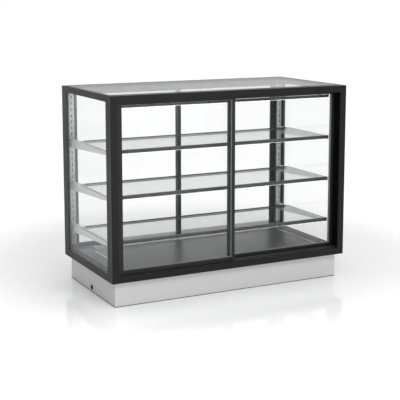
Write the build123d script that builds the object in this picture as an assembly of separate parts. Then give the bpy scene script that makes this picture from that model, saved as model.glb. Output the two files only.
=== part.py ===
from build123d import *
from dataclasses import dataclass
import os

# All sizes are in millimetres. X runs right as seen from the front, Y to the rear, Z up.
# The origin is the centre of the base's underside.

# Envelope of the case and of the base that drops into the counter
case_width = 1200.0
case_depth = 600.0
case_height = 815.0
base_height = 115.0
base_side_inset = 24.5
base_front_inset = 33.0
base_rear_inset = 20.0

# Frame profiles
post_size = 32.0
profile_wall = 2.0
rail_height = 31.5
side_head_height = 28.0
post_cap = 10.0
front_leg_width = 22.0
rear_flange_width = 12.0
rear_flange_length = 26.0

# Fixed glass
side_glass_thickness = 6.0
side_glass_setback = 3.0
side_glass_bite = 8.0
top_glass_thickness = 6.0
top_glass_ledge = 12.0
gasket = 1.0

# Front sliding doors, two tracks
front_door_setback = 17.0
front_door_thickness = 16.0
front_door_gap = 15.0
front_groove_clearance = 1.0
front_track_wall = 3.0
front_outer_jamb_stile = 26.5
front_inner_jamb_stile = 16.0
front_meeting_stile = 15.3
front_meeting_offset = 3.0
front_door_foot_rail = 17.0
front_rib_width = 4.0

# Rear sliding doors, two tracks inside the depth of the post
rear_door_setback = 5.0
rear_door_thickness = 10.0
rear_door_gap = 4.0
rear_groove_clearance = 0.8
rear_track_wall = 2.2
rear_jamb_stile = 29.0
rear_meeting_stile = 20.0
rear_door_foot_rail = 20.0
rear_rib_width = 3.0

# Sizes that both pairs of doors share
door_glass_thickness = 4.0
door_glass_bite = 6.0
door_head_rail = 20.0
door_head_cover = 9.5
door_lift = 8.0
door_end_gap = 0.5
track_sheet = 1.5
track_rib_height = 5.0
track_foot_gap = 1.0
shoe_length = 50.0
shoe_wall = 1.2
glide_gap = 0.2
guide_height = 5.0
guide_side_gap = 0.3
glide_inset = 30.0

# Shelf standards
standard_width = 28.0
standard_depth = 15.0
standard_sheet = 2.0
standard_inset = 27.5
standard_foot = 171.0
standard_head_gap = 7.0
slot_pitch = 29.0
slot_height = 14.0
slot_width = 3.6
slot_first = 32.0
standard_screws = 3

# Shelves: the slot that each one hangs in, counted from the lowest
shelf_slots = {"upper": 15, "middle": 8, "lower": 1}
shelf_front = 100.0
shelf_depth = 358.0
shelf_glass_thickness = 5.0
shelf_rail_height = 13.5
shelf_rail_depth = 20.0
shelf_rail_lip = 8.0
shelf_end_inset = 29.3
rear_rail_height = 11.0
rear_rail_lip = 4.0
rear_rail_depth = 12.0
bracket_thickness = 3.0
bracket_root_height = 38.0
bracket_tip_height = 13.0
bracket_flange = 22.0
bracket_flange_thickness = 2.0
hook_length = 5.4
hook_tooth = 3.0
hook_neck_height = 9.0
hook_drop = 4.0
seat_gap = 0.3

# Lights
light_strip_width = 12.0
light_strip_height = 3.5
light_strip_inset = 3.0
light_end_inset = 10.0
top_light_drop = 49.0
top_light_height = 12.5
light_arm_thickness = 3.0
light_arm_inset = 50.0
light_arm_foot = 10.0

# Deck and its vents
deck_top = 153.0
deck_sheet = 2.0
grille_sheet = 1.5
grille_lap = 6.0
side_grille_width = 62.0
side_grille_edge = 34.0
side_grille_front = 100.0
side_grille_length = 345.0
side_slot_length = 44.0
side_slot_width = 7.0
side_slot_pitch = 14.0
rear_grille_margin = 100.0
rear_grille_front = 458.0
rear_grille_depth = 90.0
rear_slot_width = 10.0
rear_slot_pitch = 20.0
rear_slot_rows = 4
rear_slot_columns = 6
rear_slot_bridge = 14.0

# Base
base_sheet = 1.5
base_side_flange = 20.0
base_long_flange = 40.0
insulation_thickness = 12.0
tray_sheet = 1.0
tray_edge_height = 20.0
tray_margin = 12.0
base_vent_count = 8
base_vent_pitch = 12.0
base_vent_width = 4.0
base_vent_height = 40.0
base_seat = 1.0

# Cable grommet, low on the left side of the base
grommet_y = 11.0
grommet_z = 21.0
grommet_flange_radius = 12.0
grommet_neck_radius = 9.5
grommet_bore_radius = 6.0
grommet_flange_thickness = 2.0
grommet_hole_gap = 0.2
grommet_sides = 24

# Fans and heating elements inside the base
fan_size = 92.0
fan_thickness = 25.0
fan_bore_radius = 43.5
fan_bore_sides = 28
fan_heater_gap = 55.0
fan_corner = 5.0
fan_hub_radius = 17.0
fan_hub_sides = 14
fan_motor_thickness = 6.0
fan_strut_width = 6.0
fan_blades = 7
fan_blade_thickness = 1.6
fan_blade_pitch = 38.0
fan_blade_share = 0.8
fan_tip_gap = 1.5
fan_hub_gap = 0.3
fan_shaft_radius = 2.0
fan_shaft_gap = 0.05
heater_inset = 245.5
heater_length = 160.0
heater_spread = 60.0
heater_tube = 8.5
heater_tube_sides = 10
heater_height = 45.0
heater_plate_width = 100.0
heater_plate_height = 60.0
heater_plate_thickness = 3.0
terminal_length = 14.0
terminal_radius = 2.5
terminal_sides = 8

# Lighting driver and terminal block
driver_length = 150.0
driver_width = 42.0
driver_height = 30.0
driver_ear = 12.0
driver_ear_thickness = 3.0
driver_hole_radius = 2.0
driver_hole_sides = 8
driver_inset = 77.0
block_length = 60.0
block_width = 18.0
block_height = 20.0
block_ways = 5
block_step = 7.0
block_hole_radius = 2.5
block_hole_sides = 8
block_inset = 75.5

# Control panel on the rear of the base
panel_width = 180.0
panel_height = 76.0
panel_sheet = 2.0
panel_inset = 195.5
panel_z = 57.0
panel_lap = 8.0
panel_screw_inset = 4.5
knob_offset = -45.0
knob_radius = 17.0
knob_height = 13.0
knob_flutes = 12
knob_flute_radius = 2.2
knob_flute_depth = 1.47
knob_flute_sides = 8
knob_pointer_width = 2.0
knob_skirt_gap = 0.4
spindle_radius = 3.0
spindle_gap = 0.05
spindle_length = 14.0
thermostat_size = 40.0
thermostat_depth = 22.0
thermostat_neck_radius = 5.0
thermostat_neck_sides = 12
panel_hole_gap = 0.2
switch_pitch = 34.0
switch_offset = 18.0
switch_width = 13.0
switch_height = 19.0
switch_depth = 20.0
bezel_lap = 1.2
bezel_thickness = 1.5
rocker_radius = 7.8
rocker_sides = 20
rocker_width = 10.0
rocker_gap = 0.25
rocker_half_angle = 7.0
rocker_crown = 2.2
rocker_rise = 1.17
rocker_pin_radius = 1.2
rocker_pin_length = 0.9
rocker_pin_gap = 0.06

# Screws
screw_head_radius = 3.4
screw_head_height = 2.0
screw_head_sides = 12
screw_radius = 1.5
screw_sides = 8
screw_hole_gap = 0.2
panel_screw_length = 8.0

# Places worked out from the sizes above
half_width = case_width / 2
half_depth = case_depth / 2
case_foot = base_height
case_top = base_height + case_height
inner_x = half_width - post_size
sill_top = case_foot + rail_height
head_foot = case_top - rail_height
side_sill_top = sill_top
side_head_foot = case_top - side_head_height
front_pack_depth = (front_door_setback + 2 * front_door_thickness + front_door_gap
                    + front_groove_clearance + front_track_wall)
rear_pack_depth = (rear_door_setback + 2 * rear_door_thickness + rear_door_gap
                   + rear_groove_clearance + rear_track_wall)
front_pack_y = -half_depth + front_pack_depth
rear_pack_y = half_depth - rear_pack_depth
post_front_y = -half_depth + post_size
post_rear_y = half_depth - post_size

slot_outer_x = half_width - side_glass_setback + gasket
slot_inner_x = half_width - side_glass_setback - side_glass_thickness - gasket
glass_outer_x = slot_outer_x - gasket
glass_inner_x = slot_inner_x + gasket
side_slot_y = (post_front_y - side_glass_bite, post_rear_y - rear_flange_length + side_glass_bite)
side_slot_z = (side_sill_top - side_glass_bite, side_head_foot + side_glass_bite)

top_bed_z = case_top - top_glass_thickness - gasket
top_bed_x = inner_x + top_glass_ledge
top_bed_y = (front_pack_y - top_glass_ledge, rear_pack_y + top_glass_ledge)

door_foot = sill_top + track_sheet + track_foot_gap
door_head = head_foot + door_head_cover
groove_top = door_head + door_lift
rib_top = sill_top + track_sheet + track_rib_height

standard_x = half_width - standard_inset
standard_web_y = post_rear_y - standard_depth
standard_head = side_head_foot - standard_head_gap
slot_z = standard_foot + slot_first

shelf_front_y = -half_depth + shelf_front
shelf_rear_y = shelf_front_y + shelf_depth
shelf_glass_front_y = shelf_front_y + shelf_rail_depth - shelf_rail_lip
shelf_rail_end = half_width - shelf_end_inset
bracket_inner_x = standard_x - bracket_thickness / 2
bracket_outer_x = standard_x + bracket_thickness / 2
flange_inner_x = bracket_outer_x - bracket_flange
shelf_glass_end = bracket_inner_x - 2 * seat_gap

base_x = half_width - base_side_inset
base_front_y = -half_depth + base_front_inset
base_rear_y = half_depth - base_rear_inset
base_shell_top = base_height + base_seat
heater_start = base_x - heater_inset
fan_offset = heater_start - fan_heater_gap - fan_thickness
block_x = -base_x + block_inset
driver_y = base_front_y + driver_inset
panel_x = base_x - panel_inset
base_vent_centre = -panel_x
tray_top = base_sheet + insulation_thickness + tray_sheet
fan_z = tray_top + fan_size / 2
panel_front_y = base_rear_y + panel_sheet
switch_x = [panel_x + switch_offset, panel_x + switch_offset + switch_pitch]
knob_x = panel_x + knob_offset
rocker_y = panel_front_y


def rect(u0, u1, v0, v1):
    """Rectangle between two values on each axis of its sketch."""
    return Pos((u0 + u1) / 2, (v0 + v1) / 2) * Rectangle(abs(u1 - u0), abs(v1 - v0))


def block(x0, x1, y0, y1, z0, z1):
    """Box between two values on each axis."""
    centre = Pos((x0 + x1) / 2, (y0 + y1) / 2, (z0 + z1) / 2)
    return centre * Box(abs(x1 - x0), abs(y1 - y0), abs(z1 - z0))


def run_x(section, x0, x1):
    """Section drawn in Y and Z, extruded along X."""
    return extrude(Plane.YZ.offset(x0) * section, x1 - x0)


def run_y(section, y0, y1):
    """Section drawn in X and Z, extruded along Y."""
    return extrude(Plane.XZ.offset(-y1) * section, y1 - y0)


def run_z(section, z0, z1):
    """Section drawn in X and Y, extruded along Z."""
    return extrude(Plane.XY.offset(z0) * section, z1 - z0)


def polygon(points):
    """Closed flat outline through the points."""
    return make_face(Polyline(*points, close=True))


def rod_x(radius, x0, x1, y, z):
    """Round bar along X."""
    return Pos((x0 + x1) / 2, y, z) * Rot(0, 90, 0) * Cylinder(radius, abs(x1 - x0))


def rod_y(radius, y0, y1, x, z):
    """Round bar along Y."""
    return Pos(x, (y0 + y1) / 2, z) * Rot(90, 0, 0) * Cylinder(radius, abs(y1 - y0))


def bar_x(radius, sides, x0, x1, y, z):
    """Many-sided bar along X with its corners on the radius."""
    return run_x(Pos(y, z) * RegularPolygon(radius, sides), min(x0, x1), max(x0, x1))


def bar_y(radius, sides, y0, y1, x, z):
    """Many-sided bar along Y with its corners on the radius."""
    return run_y(Pos(x, z) * RegularPolygon(radius, sides), min(y0, y1), max(y0, y1))


def hole_x(radius, sides, x0, x1, y, z):
    """Many-sided hole along X with its flats on the radius."""
    return run_x(Pos(y, z) * RegularPolygon(radius, sides, major_radius=False), min(x0, x1), max(x0, x1))


def hole_y(radius, sides, y0, y1, x, z):
    """Many-sided hole along Y with its flats on the radius."""
    return run_y(Pos(x, z) * RegularPolygon(radius, sides, major_radius=False), min(y0, y1), max(y0, y1))


def save(name, *pieces):
    """Write the pieces of one node to its file."""
    solids = [solid for piece in pieces for solid in piece.solids()]
    shape = solids[0] if len(solids) == 1 else Compound(children=solids)
    export_step(shape, f"parts/{name}.step")


@dataclass
class DoorPair:
    """Two doors that pass each other on two tracks, on one long side of the case."""

    side: int
    setback: float
    thickness: float
    gap: float
    groove_clearance: float
    pack_depth: float
    foot_rail: float
    rib_width: float
    meeting_stile: float
    meeting_offset: float
    outer_jamb_stile: float
    inner_jamb_stile: float

    def y_at(self, distance):
        """Y of the plane that lies this far in from the outer face of the frame."""
        return self.side * (half_depth - distance)

    def track_distance(self, track):
        """Distance from the outer face to the middle of a track: 0 is the outer one, 1 the inner."""
        return self.setback + self.thickness / 2 + track * (self.thickness + self.gap)

    def centre_y(self, track):
        """Y of the middle of a track."""
        return self.y_at(self.track_distance(track))

    def band(self, start, end, z0, z1):
        """Rectangle of a section, by its distances from the outer face."""
        return rect(self.y_at(start), self.y_at(end), z0, z1)

    def outer_x_side(self):
        """The side of the case where the outer door stands when it is closed."""
        return self.side

    def x_range(self, track):
        """Left and right end of a closed door."""
        side = self.outer_x_side() if track == 0 else -self.outer_x_side()
        jamb_end = side * (inner_x - door_end_gap)
        meeting_end = self.meeting_offset - side * self.meeting_stile / 2
        return min(jamb_end, meeting_end), max(jamb_end, meeting_end)

    def stiles(self, track):
        """Widths of the left and the right stile of a door."""
        jamb = self.outer_jamb_stile if track == 0 else self.inner_jamb_stile
        side = self.outer_x_side() if track == 0 else -self.outer_x_side()
        return (jamb, self.meeting_stile) if side < 0 else (self.meeting_stile, jamb)


front_pair = DoorPair(-1, front_door_setback, front_door_thickness, front_door_gap,
                      front_groove_clearance, front_pack_depth, front_door_foot_rail,
                      front_rib_width, front_meeting_stile, front_meeting_offset,
                      front_outer_jamb_stile, front_inner_jamb_stile)
rear_pair = DoorPair(1, rear_door_setback, rear_door_thickness, rear_door_gap,
                     rear_groove_clearance, rear_pack_depth, rear_door_foot_rail,
                     rear_rib_width, rear_meeting_stile, 0.0,
                     rear_jamb_stile, rear_jamb_stile)


def side_glass_slot(side):
    """Space that the side glass and its gasket take out of the frame."""
    return block(side * slot_inner_x, side * slot_outer_x, *side_slot_y, *side_slot_z)


def top_glass_bed():
    """Space that the top glass and its bed take out of the frame."""
    return block(-top_bed_x, top_bed_x, *top_bed_y, top_bed_z, case_top + gasket)


def base_rebate():
    """Shallow rebate under the frame that the top of the base sits in."""
    return block(-base_x - seat_gap, base_x + seat_gap, base_front_y - seat_gap, base_rear_y + seat_gap,
                 case_foot, base_shell_top)


def standard_screw_places():
    """Heights of the screws of a standard, in the web between two slots."""
    slots = slot_count()
    step = (slots - 2) // (standard_screws - 1)
    first = slot_z + slot_height + (slot_pitch - slot_height) / 2
    return [first + slot_pitch * step * index for index in range(standard_screws)]


def front_post(side):
    """Hollow front post with the leg that closes the inner track."""
    main = rect(side * inner_x, side * half_width, -half_depth, post_front_y)
    hollow = rect(side * (inner_x + profile_wall), side * (slot_inner_x - profile_wall),
                  -half_depth + profile_wall, post_front_y - profile_wall)
    leg = rect(side * inner_x, side * (inner_x + front_leg_width), post_front_y, front_pack_y)
    leg_hollow = rect(side * (inner_x + profile_wall), side * (inner_x + front_leg_width - profile_wall),
                      post_front_y + profile_wall, front_pack_y - profile_wall)
    post = run_z(main, case_foot, case_top) - run_z(hollow, case_foot + post_cap, case_top - post_cap)
    post += run_z(leg - leg_hollow, side_sill_top, side_head_foot)
    return post - side_glass_slot(side)


def rear_post(side):
    """Hollow rear post with the flange that covers the edge of the side glass."""
    main = rect(side * inner_x, side * half_width, post_rear_y, half_depth)
    hollow = rect(side * (inner_x + profile_wall), side * (half_width - profile_wall),
                  post_rear_y + profile_wall, half_depth - profile_wall)
    flange = rect(side * (half_width - rear_flange_width), side * half_width,
                  post_rear_y - rear_flange_length, post_rear_y)
    post = run_z(main, case_foot, case_top) - run_z(hollow, case_foot + post_cap, case_top - post_cap)
    post += run_z(flange, side_sill_top, side_head_foot)
    for z in standard_screw_places():
        post -= hole_y(screw_radius + screw_hole_gap, screw_sides, post_rear_y,
                       post_rear_y + profile_wall, side * standard_x, z)
    return post - side_glass_slot(side) - top_glass_bed() - base_rebate()


def head_rail(pair):
    """Upper long rail with the two deep grooves that the doors lift into."""
    section = pair.band(0, pair.pack_depth, head_foot, case_top)
    groove_half = pair.thickness / 2 + pair.groove_clearance
    for track in (0, 1):
        centre = pair.track_distance(track)
        section -= pair.band(centre - groove_half, centre + groove_half, head_foot, groove_top)
    face_depth = pair.setback - pair.groove_clearance
    if face_depth > 3 * profile_wall:
        section -= pair.band(profile_wall, face_depth - profile_wall,
                             head_foot + profile_wall, case_top - profile_wall)
    return run_x(section, -inner_x, inner_x) - top_glass_bed()


def sill_rail(pair):
    """Lower long rail, a tube with a web under the middle of the tracks."""
    section = pair.band(0, pair.pack_depth, case_foot, sill_top)
    middle = pair.pack_depth / 2
    for start, end in ((0, middle), (middle, pair.pack_depth)):
        section -= pair.band(start + profile_wall, end - profile_wall,
                             base_shell_top + profile_wall, sill_top - profile_wall)
    return run_x(section, -inner_x, inner_x) - base_rebate()


def side_head_rail(side):
    """Upper side rail, a tube with a slot for the side glass and a bed for the top glass."""
    section = rect(side * inner_x, side * half_width, side_head_foot, case_top)
    section -= rect(side * (inner_x + profile_wall), side * (slot_inner_x - profile_wall),
                    side_head_foot + profile_wall, top_bed_z - profile_wall)
    return run_y(section, post_front_y, post_rear_y) - side_glass_slot(side) - top_glass_bed()


def side_sill_rail(side):
    """Lower side rail, a tube with a slot for the side glass."""
    section = rect(side * inner_x, side * half_width, case_foot, side_sill_top)
    section -= rect(side * (inner_x + profile_wall), side * (slot_inner_x - profile_wall),
                    base_shell_top + profile_wall, side_sill_top - profile_wall)
    return run_y(section, post_front_y, post_rear_y) - side_glass_slot(side) - base_rebate()


def side_glass(side):
    """Fixed pane of one side."""
    (y0, y1), (z0, z1) = side_slot_y, side_slot_z
    return block(side * glass_inner_x, side * glass_outer_x,
                 y0 + gasket, y1 - gasket, z0 + gasket, z1 - gasket)


def side_gasket(side):
    """Channel of rubber round the edge of a side pane."""
    (y0, y1), (z0, z1) = side_slot_y, side_slot_z
    ring = side_glass_slot(side)
    ring -= block(side * slot_inner_x, side * slot_outer_x,
                  y0 + side_glass_bite, y1 - side_glass_bite,
                  z0 + side_glass_bite, z1 - side_glass_bite)
    return ring - side_glass(side)


def top_glass():
    """Fixed pane of the top, flush with the frame."""
    y0, y1 = top_bed_y
    return block(-top_bed_x + gasket, top_bed_x - gasket, y0 + gasket, y1 - gasket,
                 top_bed_z + gasket, case_top)


def top_gasket():
    """Bed of rubber under and round the top pane."""
    y0, y1 = top_bed_y
    ring = block(-top_bed_x, top_bed_x, y0, y1, top_bed_z, case_top)
    ring -= block(-inner_x, inner_x, front_pack_y, rear_pack_y, top_bed_z, case_top)
    return ring - top_glass()


def lower_track(pair):
    """Sheet on the sill with one rib for each door."""
    start = pair.setback - pair.groove_clearance
    section = pair.band(start, pair.pack_depth - pair.groove_clearance, sill_top, sill_top + track_sheet)
    for track in (0, 1):
        centre = pair.track_distance(track)
        section += pair.band(centre - pair.rib_width / 2, centre + pair.rib_width / 2,
                             sill_top + track_sheet, rib_top)
    return run_x(section, -inner_x, inner_x)


def shoe_half(pair):
    """Half the width of a lower shoe, which is a channel over the rib."""
    return pair.rib_width / 2 + guide_side_gap + shoe_wall


def door_window(pair, track):
    """Left, right, lower and upper edge of the glass that shows in a door."""
    x0, x1 = pair.x_range(track)
    left, right = pair.stiles(track)
    return x0 + left, x1 - right, door_foot + pair.foot_rail, door_head - door_head_rail


def door_frame(pair, track):
    """Ring of stiles and rails, with a groove for the glass and one for the rib below."""
    x0, x1 = pair.x_range(track)
    y = pair.centre_y(track)
    half = pair.thickness / 2
    wx0, wx1, wz0, wz1 = door_window(pair, track)
    bite = door_glass_bite + seat_gap
    glass_half = door_glass_thickness / 2
    frame = block(x0, x1, y - half, y + half, door_foot, door_head)
    frame -= block(wx0, wx1, y - half, y + half, wz0, wz1)
    frame -= block(wx0 - bite, wx1 + bite, y - glass_half, y + glass_half, wz0 - bite, wz1 + bite)
    groove = shoe_half(pair) + glide_gap
    frame -= block(x0, x1, y - groove, y + groove, door_foot, rib_top + track_rib_height)
    return frame


def door_glass(pair, track):
    """Pane of a door."""
    y = pair.centre_y(track)
    wx0, wx1, wz0, wz1 = door_window(pair, track)
    half = door_glass_thickness / 2
    return block(wx0 - door_glass_bite, wx1 + door_glass_bite, y - half, y + half,
                 wz0 - door_glass_bite, wz1 + door_glass_bite)


def door_glides(pair, track):
    """Two shoes that ride on the rib, and two guides in the upper groove."""
    x0, x1 = pair.x_range(track)
    y = pair.centre_y(track)
    half = shoe_half(pair)
    rib_half = pair.rib_width / 2 + guide_side_gap
    pad_half = pair.thickness / 2 + pair.groove_clearance - guide_side_gap
    glides = []
    for start in (x0 + glide_inset, x1 - glide_inset - shoe_length):
        end = start + shoe_length
        shoe = block(start, end, y - half, y + half, door_foot, rib_top + track_rib_height - glide_gap)
        shoe -= block(start, end, y - rib_half, y + rib_half, door_foot, rib_top + glide_gap)
        glides.append(shoe)
        glides.append(block(start, end, y - pad_half, y + pad_half, door_head, door_head + guide_height))
    return glides


def slot_count():
    """Number of slots that fit in a standard."""
    return int((standard_head - slot_z - slot_height) // slot_pitch) + 1


def standard(side):
    """Slotted channel that carries the shelves, open towards the post."""
    x0, x1 = standard_x - standard_width / 2, standard_x + standard_width / 2
    section = rect(side * x0, side * x1, standard_web_y, post_rear_y)
    section -= rect(side * (x0 + standard_sheet), side * (x1 - standard_sheet),
                    standard_web_y + standard_sheet, post_rear_y)
    channel = run_z(section, standard_foot, standard_head)
    for index in range(slot_count()):
        z = slot_z + index * slot_pitch
        channel -= block(side * (standard_x - slot_width / 2), side * (standard_x + slot_width / 2),
                         standard_web_y, standard_web_y + standard_sheet, z, z + slot_height)
    for z in standard_screw_places():
        channel -= hole_y(screw_radius + screw_hole_gap, screw_sides, standard_web_y,
                          standard_web_y + standard_sheet, side * standard_x, z)
    return channel


def standard_screw(side, z):
    """Screw through a standard into its post."""
    screw = bar_y(screw_head_radius, screw_head_sides, standard_web_y - screw_head_height,
                  standard_web_y, side * standard_x, z)
    screw += bar_y(screw_radius, screw_sides, standard_web_y, post_rear_y + 2 * profile_wall,
                   side * standard_x, z)
    return screw


def shelf_top(slot):
    """Height of the top of a shelf that hangs in this slot."""
    return bracket_top(slot) + shelf_glass_thickness


def bracket_top(slot):
    """Height of the top edge of a bracket whose lower hook is in this slot."""
    return slot_z + slot * slot_pitch + seat_gap + bracket_root_height


def bracket(side, slot):
    """Tapered cantilever plate with two hooks and a flange under the glass."""
    top = bracket_top(slot)
    root_y = standard_web_y - seat_gap
    tip_y = shelf_front_y
    foot = top - bracket_root_height
    outline = polygon([(tip_y, top), (root_y, top), (root_y, foot), (tip_y, top - bracket_tip_height)])
    plate = run_x(outline, bracket_inner_x, bracket_outer_x)
    tip = block(bracket_inner_x, bracket_outer_x, tip_y, shelf_front_y + shelf_rail_depth,
                top, top + shelf_glass_thickness)
    flange = block(flange_inner_x, bracket_outer_x, shelf_front_y + shelf_rail_depth + seat_gap,
                   root_y, top - bracket_flange_thickness, top)
    piece = plate + tip + flange
    for z in (foot, foot + slot_pitch):
        hook_y = root_y + hook_length
        piece += block(bracket_inner_x, bracket_outer_x, root_y, hook_y, z, z + hook_neck_height)
        piece += block(bracket_inner_x, bracket_outer_x, hook_y - hook_tooth, hook_y, z - hook_drop, z)
    return piece if side > 0 else mirror(piece, about=Plane.YZ)


def shelf_glass(slot):
    """Pane of a shelf, held between the lips of its front and rear rail."""
    z = bracket_top(slot)
    return block(-shelf_glass_end, shelf_glass_end, shelf_glass_front_y + seat_gap,
                 shelf_rear_y - rear_rail_lip - seat_gap, z, z + shelf_glass_thickness)


def shelf_front_rail(slot):
    """Front rail with a rebate that holds the edge of the glass."""
    top = shelf_top(slot)
    section = rect(shelf_front_y, shelf_front_y + shelf_rail_depth, top - shelf_rail_height, top)
    section -= rect(shelf_glass_front_y, shelf_front_y + shelf_rail_depth, bracket_top(slot), top)
    end = bracket_inner_x - seat_gap
    return run_x(section, -end, end)


def shelf_rear_rail(slot):
    """Thin rail with an upstand behind the glass."""
    top = shelf_top(slot)
    section = rect(shelf_rear_y - rear_rail_depth, shelf_rear_y, top - rear_rail_height, bracket_top(slot))
    section += rect(shelf_rear_y - rear_rail_lip, shelf_rear_y, bracket_top(slot), top)
    end = flange_inner_x - seat_gap
    return run_x(section, -end, end)


def light_strip(foot):
    """Lens of the lights under a rail whose underside has this height."""
    start = shelf_front_y + light_strip_inset
    end = shelf_rail_end - light_end_inset
    section = rect(start, start + light_strip_width, foot - light_strip_height, foot)
    return run_x(section, -end, end)


def top_light_foot():
    """Height of the underside of the top light rail."""
    return case_top - top_light_drop - top_light_height


def top_light_rail():
    """Rail over the upper shelf, with two arms to the head rail."""
    foot = top_light_foot()
    top = foot + top_light_height
    rail = run_x(rect(shelf_front_y, shelf_front_y + shelf_rail_depth, foot, top),
                 -shelf_rail_end, shelf_rail_end)
    arm_top = top_bed_z - profile_wall
    arm = polygon([(shelf_front_y + shelf_rail_depth, top), (shelf_front_y, top),
                   (front_pack_y, head_foot), (front_pack_y, arm_top),
                   (front_pack_y + light_arm_foot, arm_top)])
    start = shelf_rail_end - light_arm_inset
    plate = run_x(arm, start, start + light_arm_thickness)
    return rail + plate + mirror(plate, about=Plane.YZ)


def deck_limits():
    """Left, right, front and rear edge of the deck."""
    edge = inner_x - seat_gap
    return -edge, edge, front_pack_y + seat_gap, post_rear_y - seat_gap


def side_grille_limits(side):
    """Edges of a side grille."""
    outer = half_width - side_grille_edge
    front = -half_depth + side_grille_front
    return (side * (outer - side_grille_width), side * outer, front, front + side_grille_length)


def rear_grille_limits():
    """Edges of the rear grille."""
    end = half_width - rear_grille_margin
    front = -half_depth + rear_grille_front
    return -end, end, front, front + rear_grille_depth


def grown(limits, amount):
    """The four edges moved outwards by an amount, whichever side they are on."""
    x0, x1, y0, y1 = limits
    x0, x1 = min(x0, x1), max(x0, x1)
    return x0 - amount, x1 + amount, y0 - amount, y1 + amount


def deck_panel():
    """Raised floor of the case: a sheet with skirts down to the flange of the base."""
    x0, x1, y0, y1 = deck_limits()
    panel = block(x0, x1, y0, y1, base_shell_top, deck_top)
    panel -= block(x0 + deck_sheet, x1 - deck_sheet, y0 + deck_sheet, y1 - deck_sheet,
                   base_shell_top, deck_top - deck_sheet)
    for limits in (side_grille_limits(-1), side_grille_limits(1), rear_grille_limits()):
        panel -= block(*grown(limits, -grille_lap), deck_top - deck_sheet, deck_top)
    return panel


def side_grille(side):
    """Vent plate with a ladder of slots across it."""
    x0, x1, y0, y1 = grown(side_grille_limits(side), 0)
    plate = block(x0, x1, y0, y1, deck_top, deck_top + grille_sheet)
    count = int((side_grille_length - 2 * grille_lap - side_slot_width) // side_slot_pitch) + 1
    first = (y0 + y1 - (count - 1) * side_slot_pitch) / 2
    middle = (x0 + x1) / 2
    for index in range(count):
        y = first + index * side_slot_pitch
        plate -= block(middle - side_slot_length / 2, middle + side_slot_length / 2,
                       y - side_slot_width / 2, y + side_slot_width / 2,
                       deck_top, deck_top + grille_sheet)
    return plate


def rear_grille():
    """Vent plate with rows of long slots."""
    x0, x1, y0, y1 = rear_grille_limits()
    plate = block(x0, x1, y0, y1, deck_top, deck_top + grille_sheet)
    span = (x1 - x0 - 2 * grille_lap - (rear_slot_columns + 1) * rear_slot_bridge) / rear_slot_columns
    first = (y0 + y1 - (rear_slot_rows - 1) * rear_slot_pitch) / 2
    for row in range(rear_slot_rows):
        y = first + row * rear_slot_pitch
        for column in range(rear_slot_columns):
            x = x0 + grille_lap + rear_slot_bridge + column * (span + rear_slot_bridge)
            plate -= block(x, x + span, y - rear_slot_width / 2, y + rear_slot_width / 2,
                           deck_top, deck_top + grille_sheet)
    return plate


def base_shell():
    """Folded walls of the base with a flange turned in at the top."""
    shell = block(-base_x, base_x, base_front_y, base_rear_y, base_sheet, base_shell_top)
    shell -= block(-base_x + base_sheet, base_x - base_sheet, base_front_y + base_sheet,
                   base_rear_y - base_sheet, base_sheet, base_shell_top - base_sheet)
    shell -= block(-base_x + base_side_flange, base_x - base_side_flange,
                   base_front_y + base_long_flange, base_rear_y - base_long_flange,
                   base_shell_top - base_sheet, base_shell_top)
    shell -= hole_x(grommet_neck_radius + grommet_hole_gap, grommet_sides, -base_x,
                    -base_x + base_sheet, grommet_y, grommet_z)
    half_w, half_h = panel_width / 2 - panel_lap, panel_height / 2 - panel_lap
    shell -= block(panel_x - half_w, panel_x + half_w, base_rear_y - base_sheet, base_rear_y,
                   panel_z - half_h, panel_z + half_h)
    for x, z in panel_screw_places():
        shell -= hole_y(screw_radius + screw_hole_gap, screw_sides, base_rear_y - base_sheet,
                        base_rear_y, x, z)
    for index in range(base_vent_count):
        x = base_vent_centre + (index - (base_vent_count - 1) / 2) * base_vent_pitch
        shell -= block(x - base_vent_width / 2, x + base_vent_width / 2,
                       base_rear_y - base_sheet, base_rear_y,
                       panel_z - base_vent_height / 2, panel_z + base_vent_height / 2)
    return shell


def base_floor():
    """Bottom plate that the base rests on."""
    return block(-base_x, base_x, base_front_y, base_rear_y, 0, base_sheet)


def tray_limits():
    """Edges of the inner tray."""
    return (-base_x + tray_margin, base_x - tray_margin,
            base_front_y + tray_margin, base_rear_y - 2 * tray_margin - thermostat_depth)


def floor_insulation():
    """Board of insulation under the inner tray."""
    x0, x1, y0, y1 = tray_limits()
    return block(x0, x1, y0, y1, base_sheet, base_sheet + insulation_thickness)


def inner_tray():
    """Tray over the insulation, on which the heaters and fans stand."""
    x0, x1, y0, y1 = tray_limits()
    foot = base_sheet + insulation_thickness
    tray = block(x0, x1, y0, y1, foot, foot + tray_edge_height)
    return tray - block(x0 + tray_sheet, x1 - tray_sheet, y0 + tray_sheet, y1 - tray_sheet,
                        tray_top, foot + tray_edge_height)


def cable_grommet():
    """Rubber grommet with a bore for the mains cable."""
    outer = -base_x
    inner = -base_x + base_sheet
    grommet = bar_x(grommet_flange_radius, grommet_sides, outer - grommet_flange_thickness, outer,
                    grommet_y, grommet_z)
    grommet += bar_x(grommet_neck_radius, grommet_sides, outer, inner, grommet_y, grommet_z)
    grommet += bar_x(grommet_flange_radius, grommet_sides, inner, inner + grommet_flange_thickness,
                     grommet_y, grommet_z)
    return grommet - rod_x(grommet_bore_radius, outer - grommet_flange_thickness,
                           inner + grommet_flange_thickness, grommet_y, grommet_z)


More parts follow.
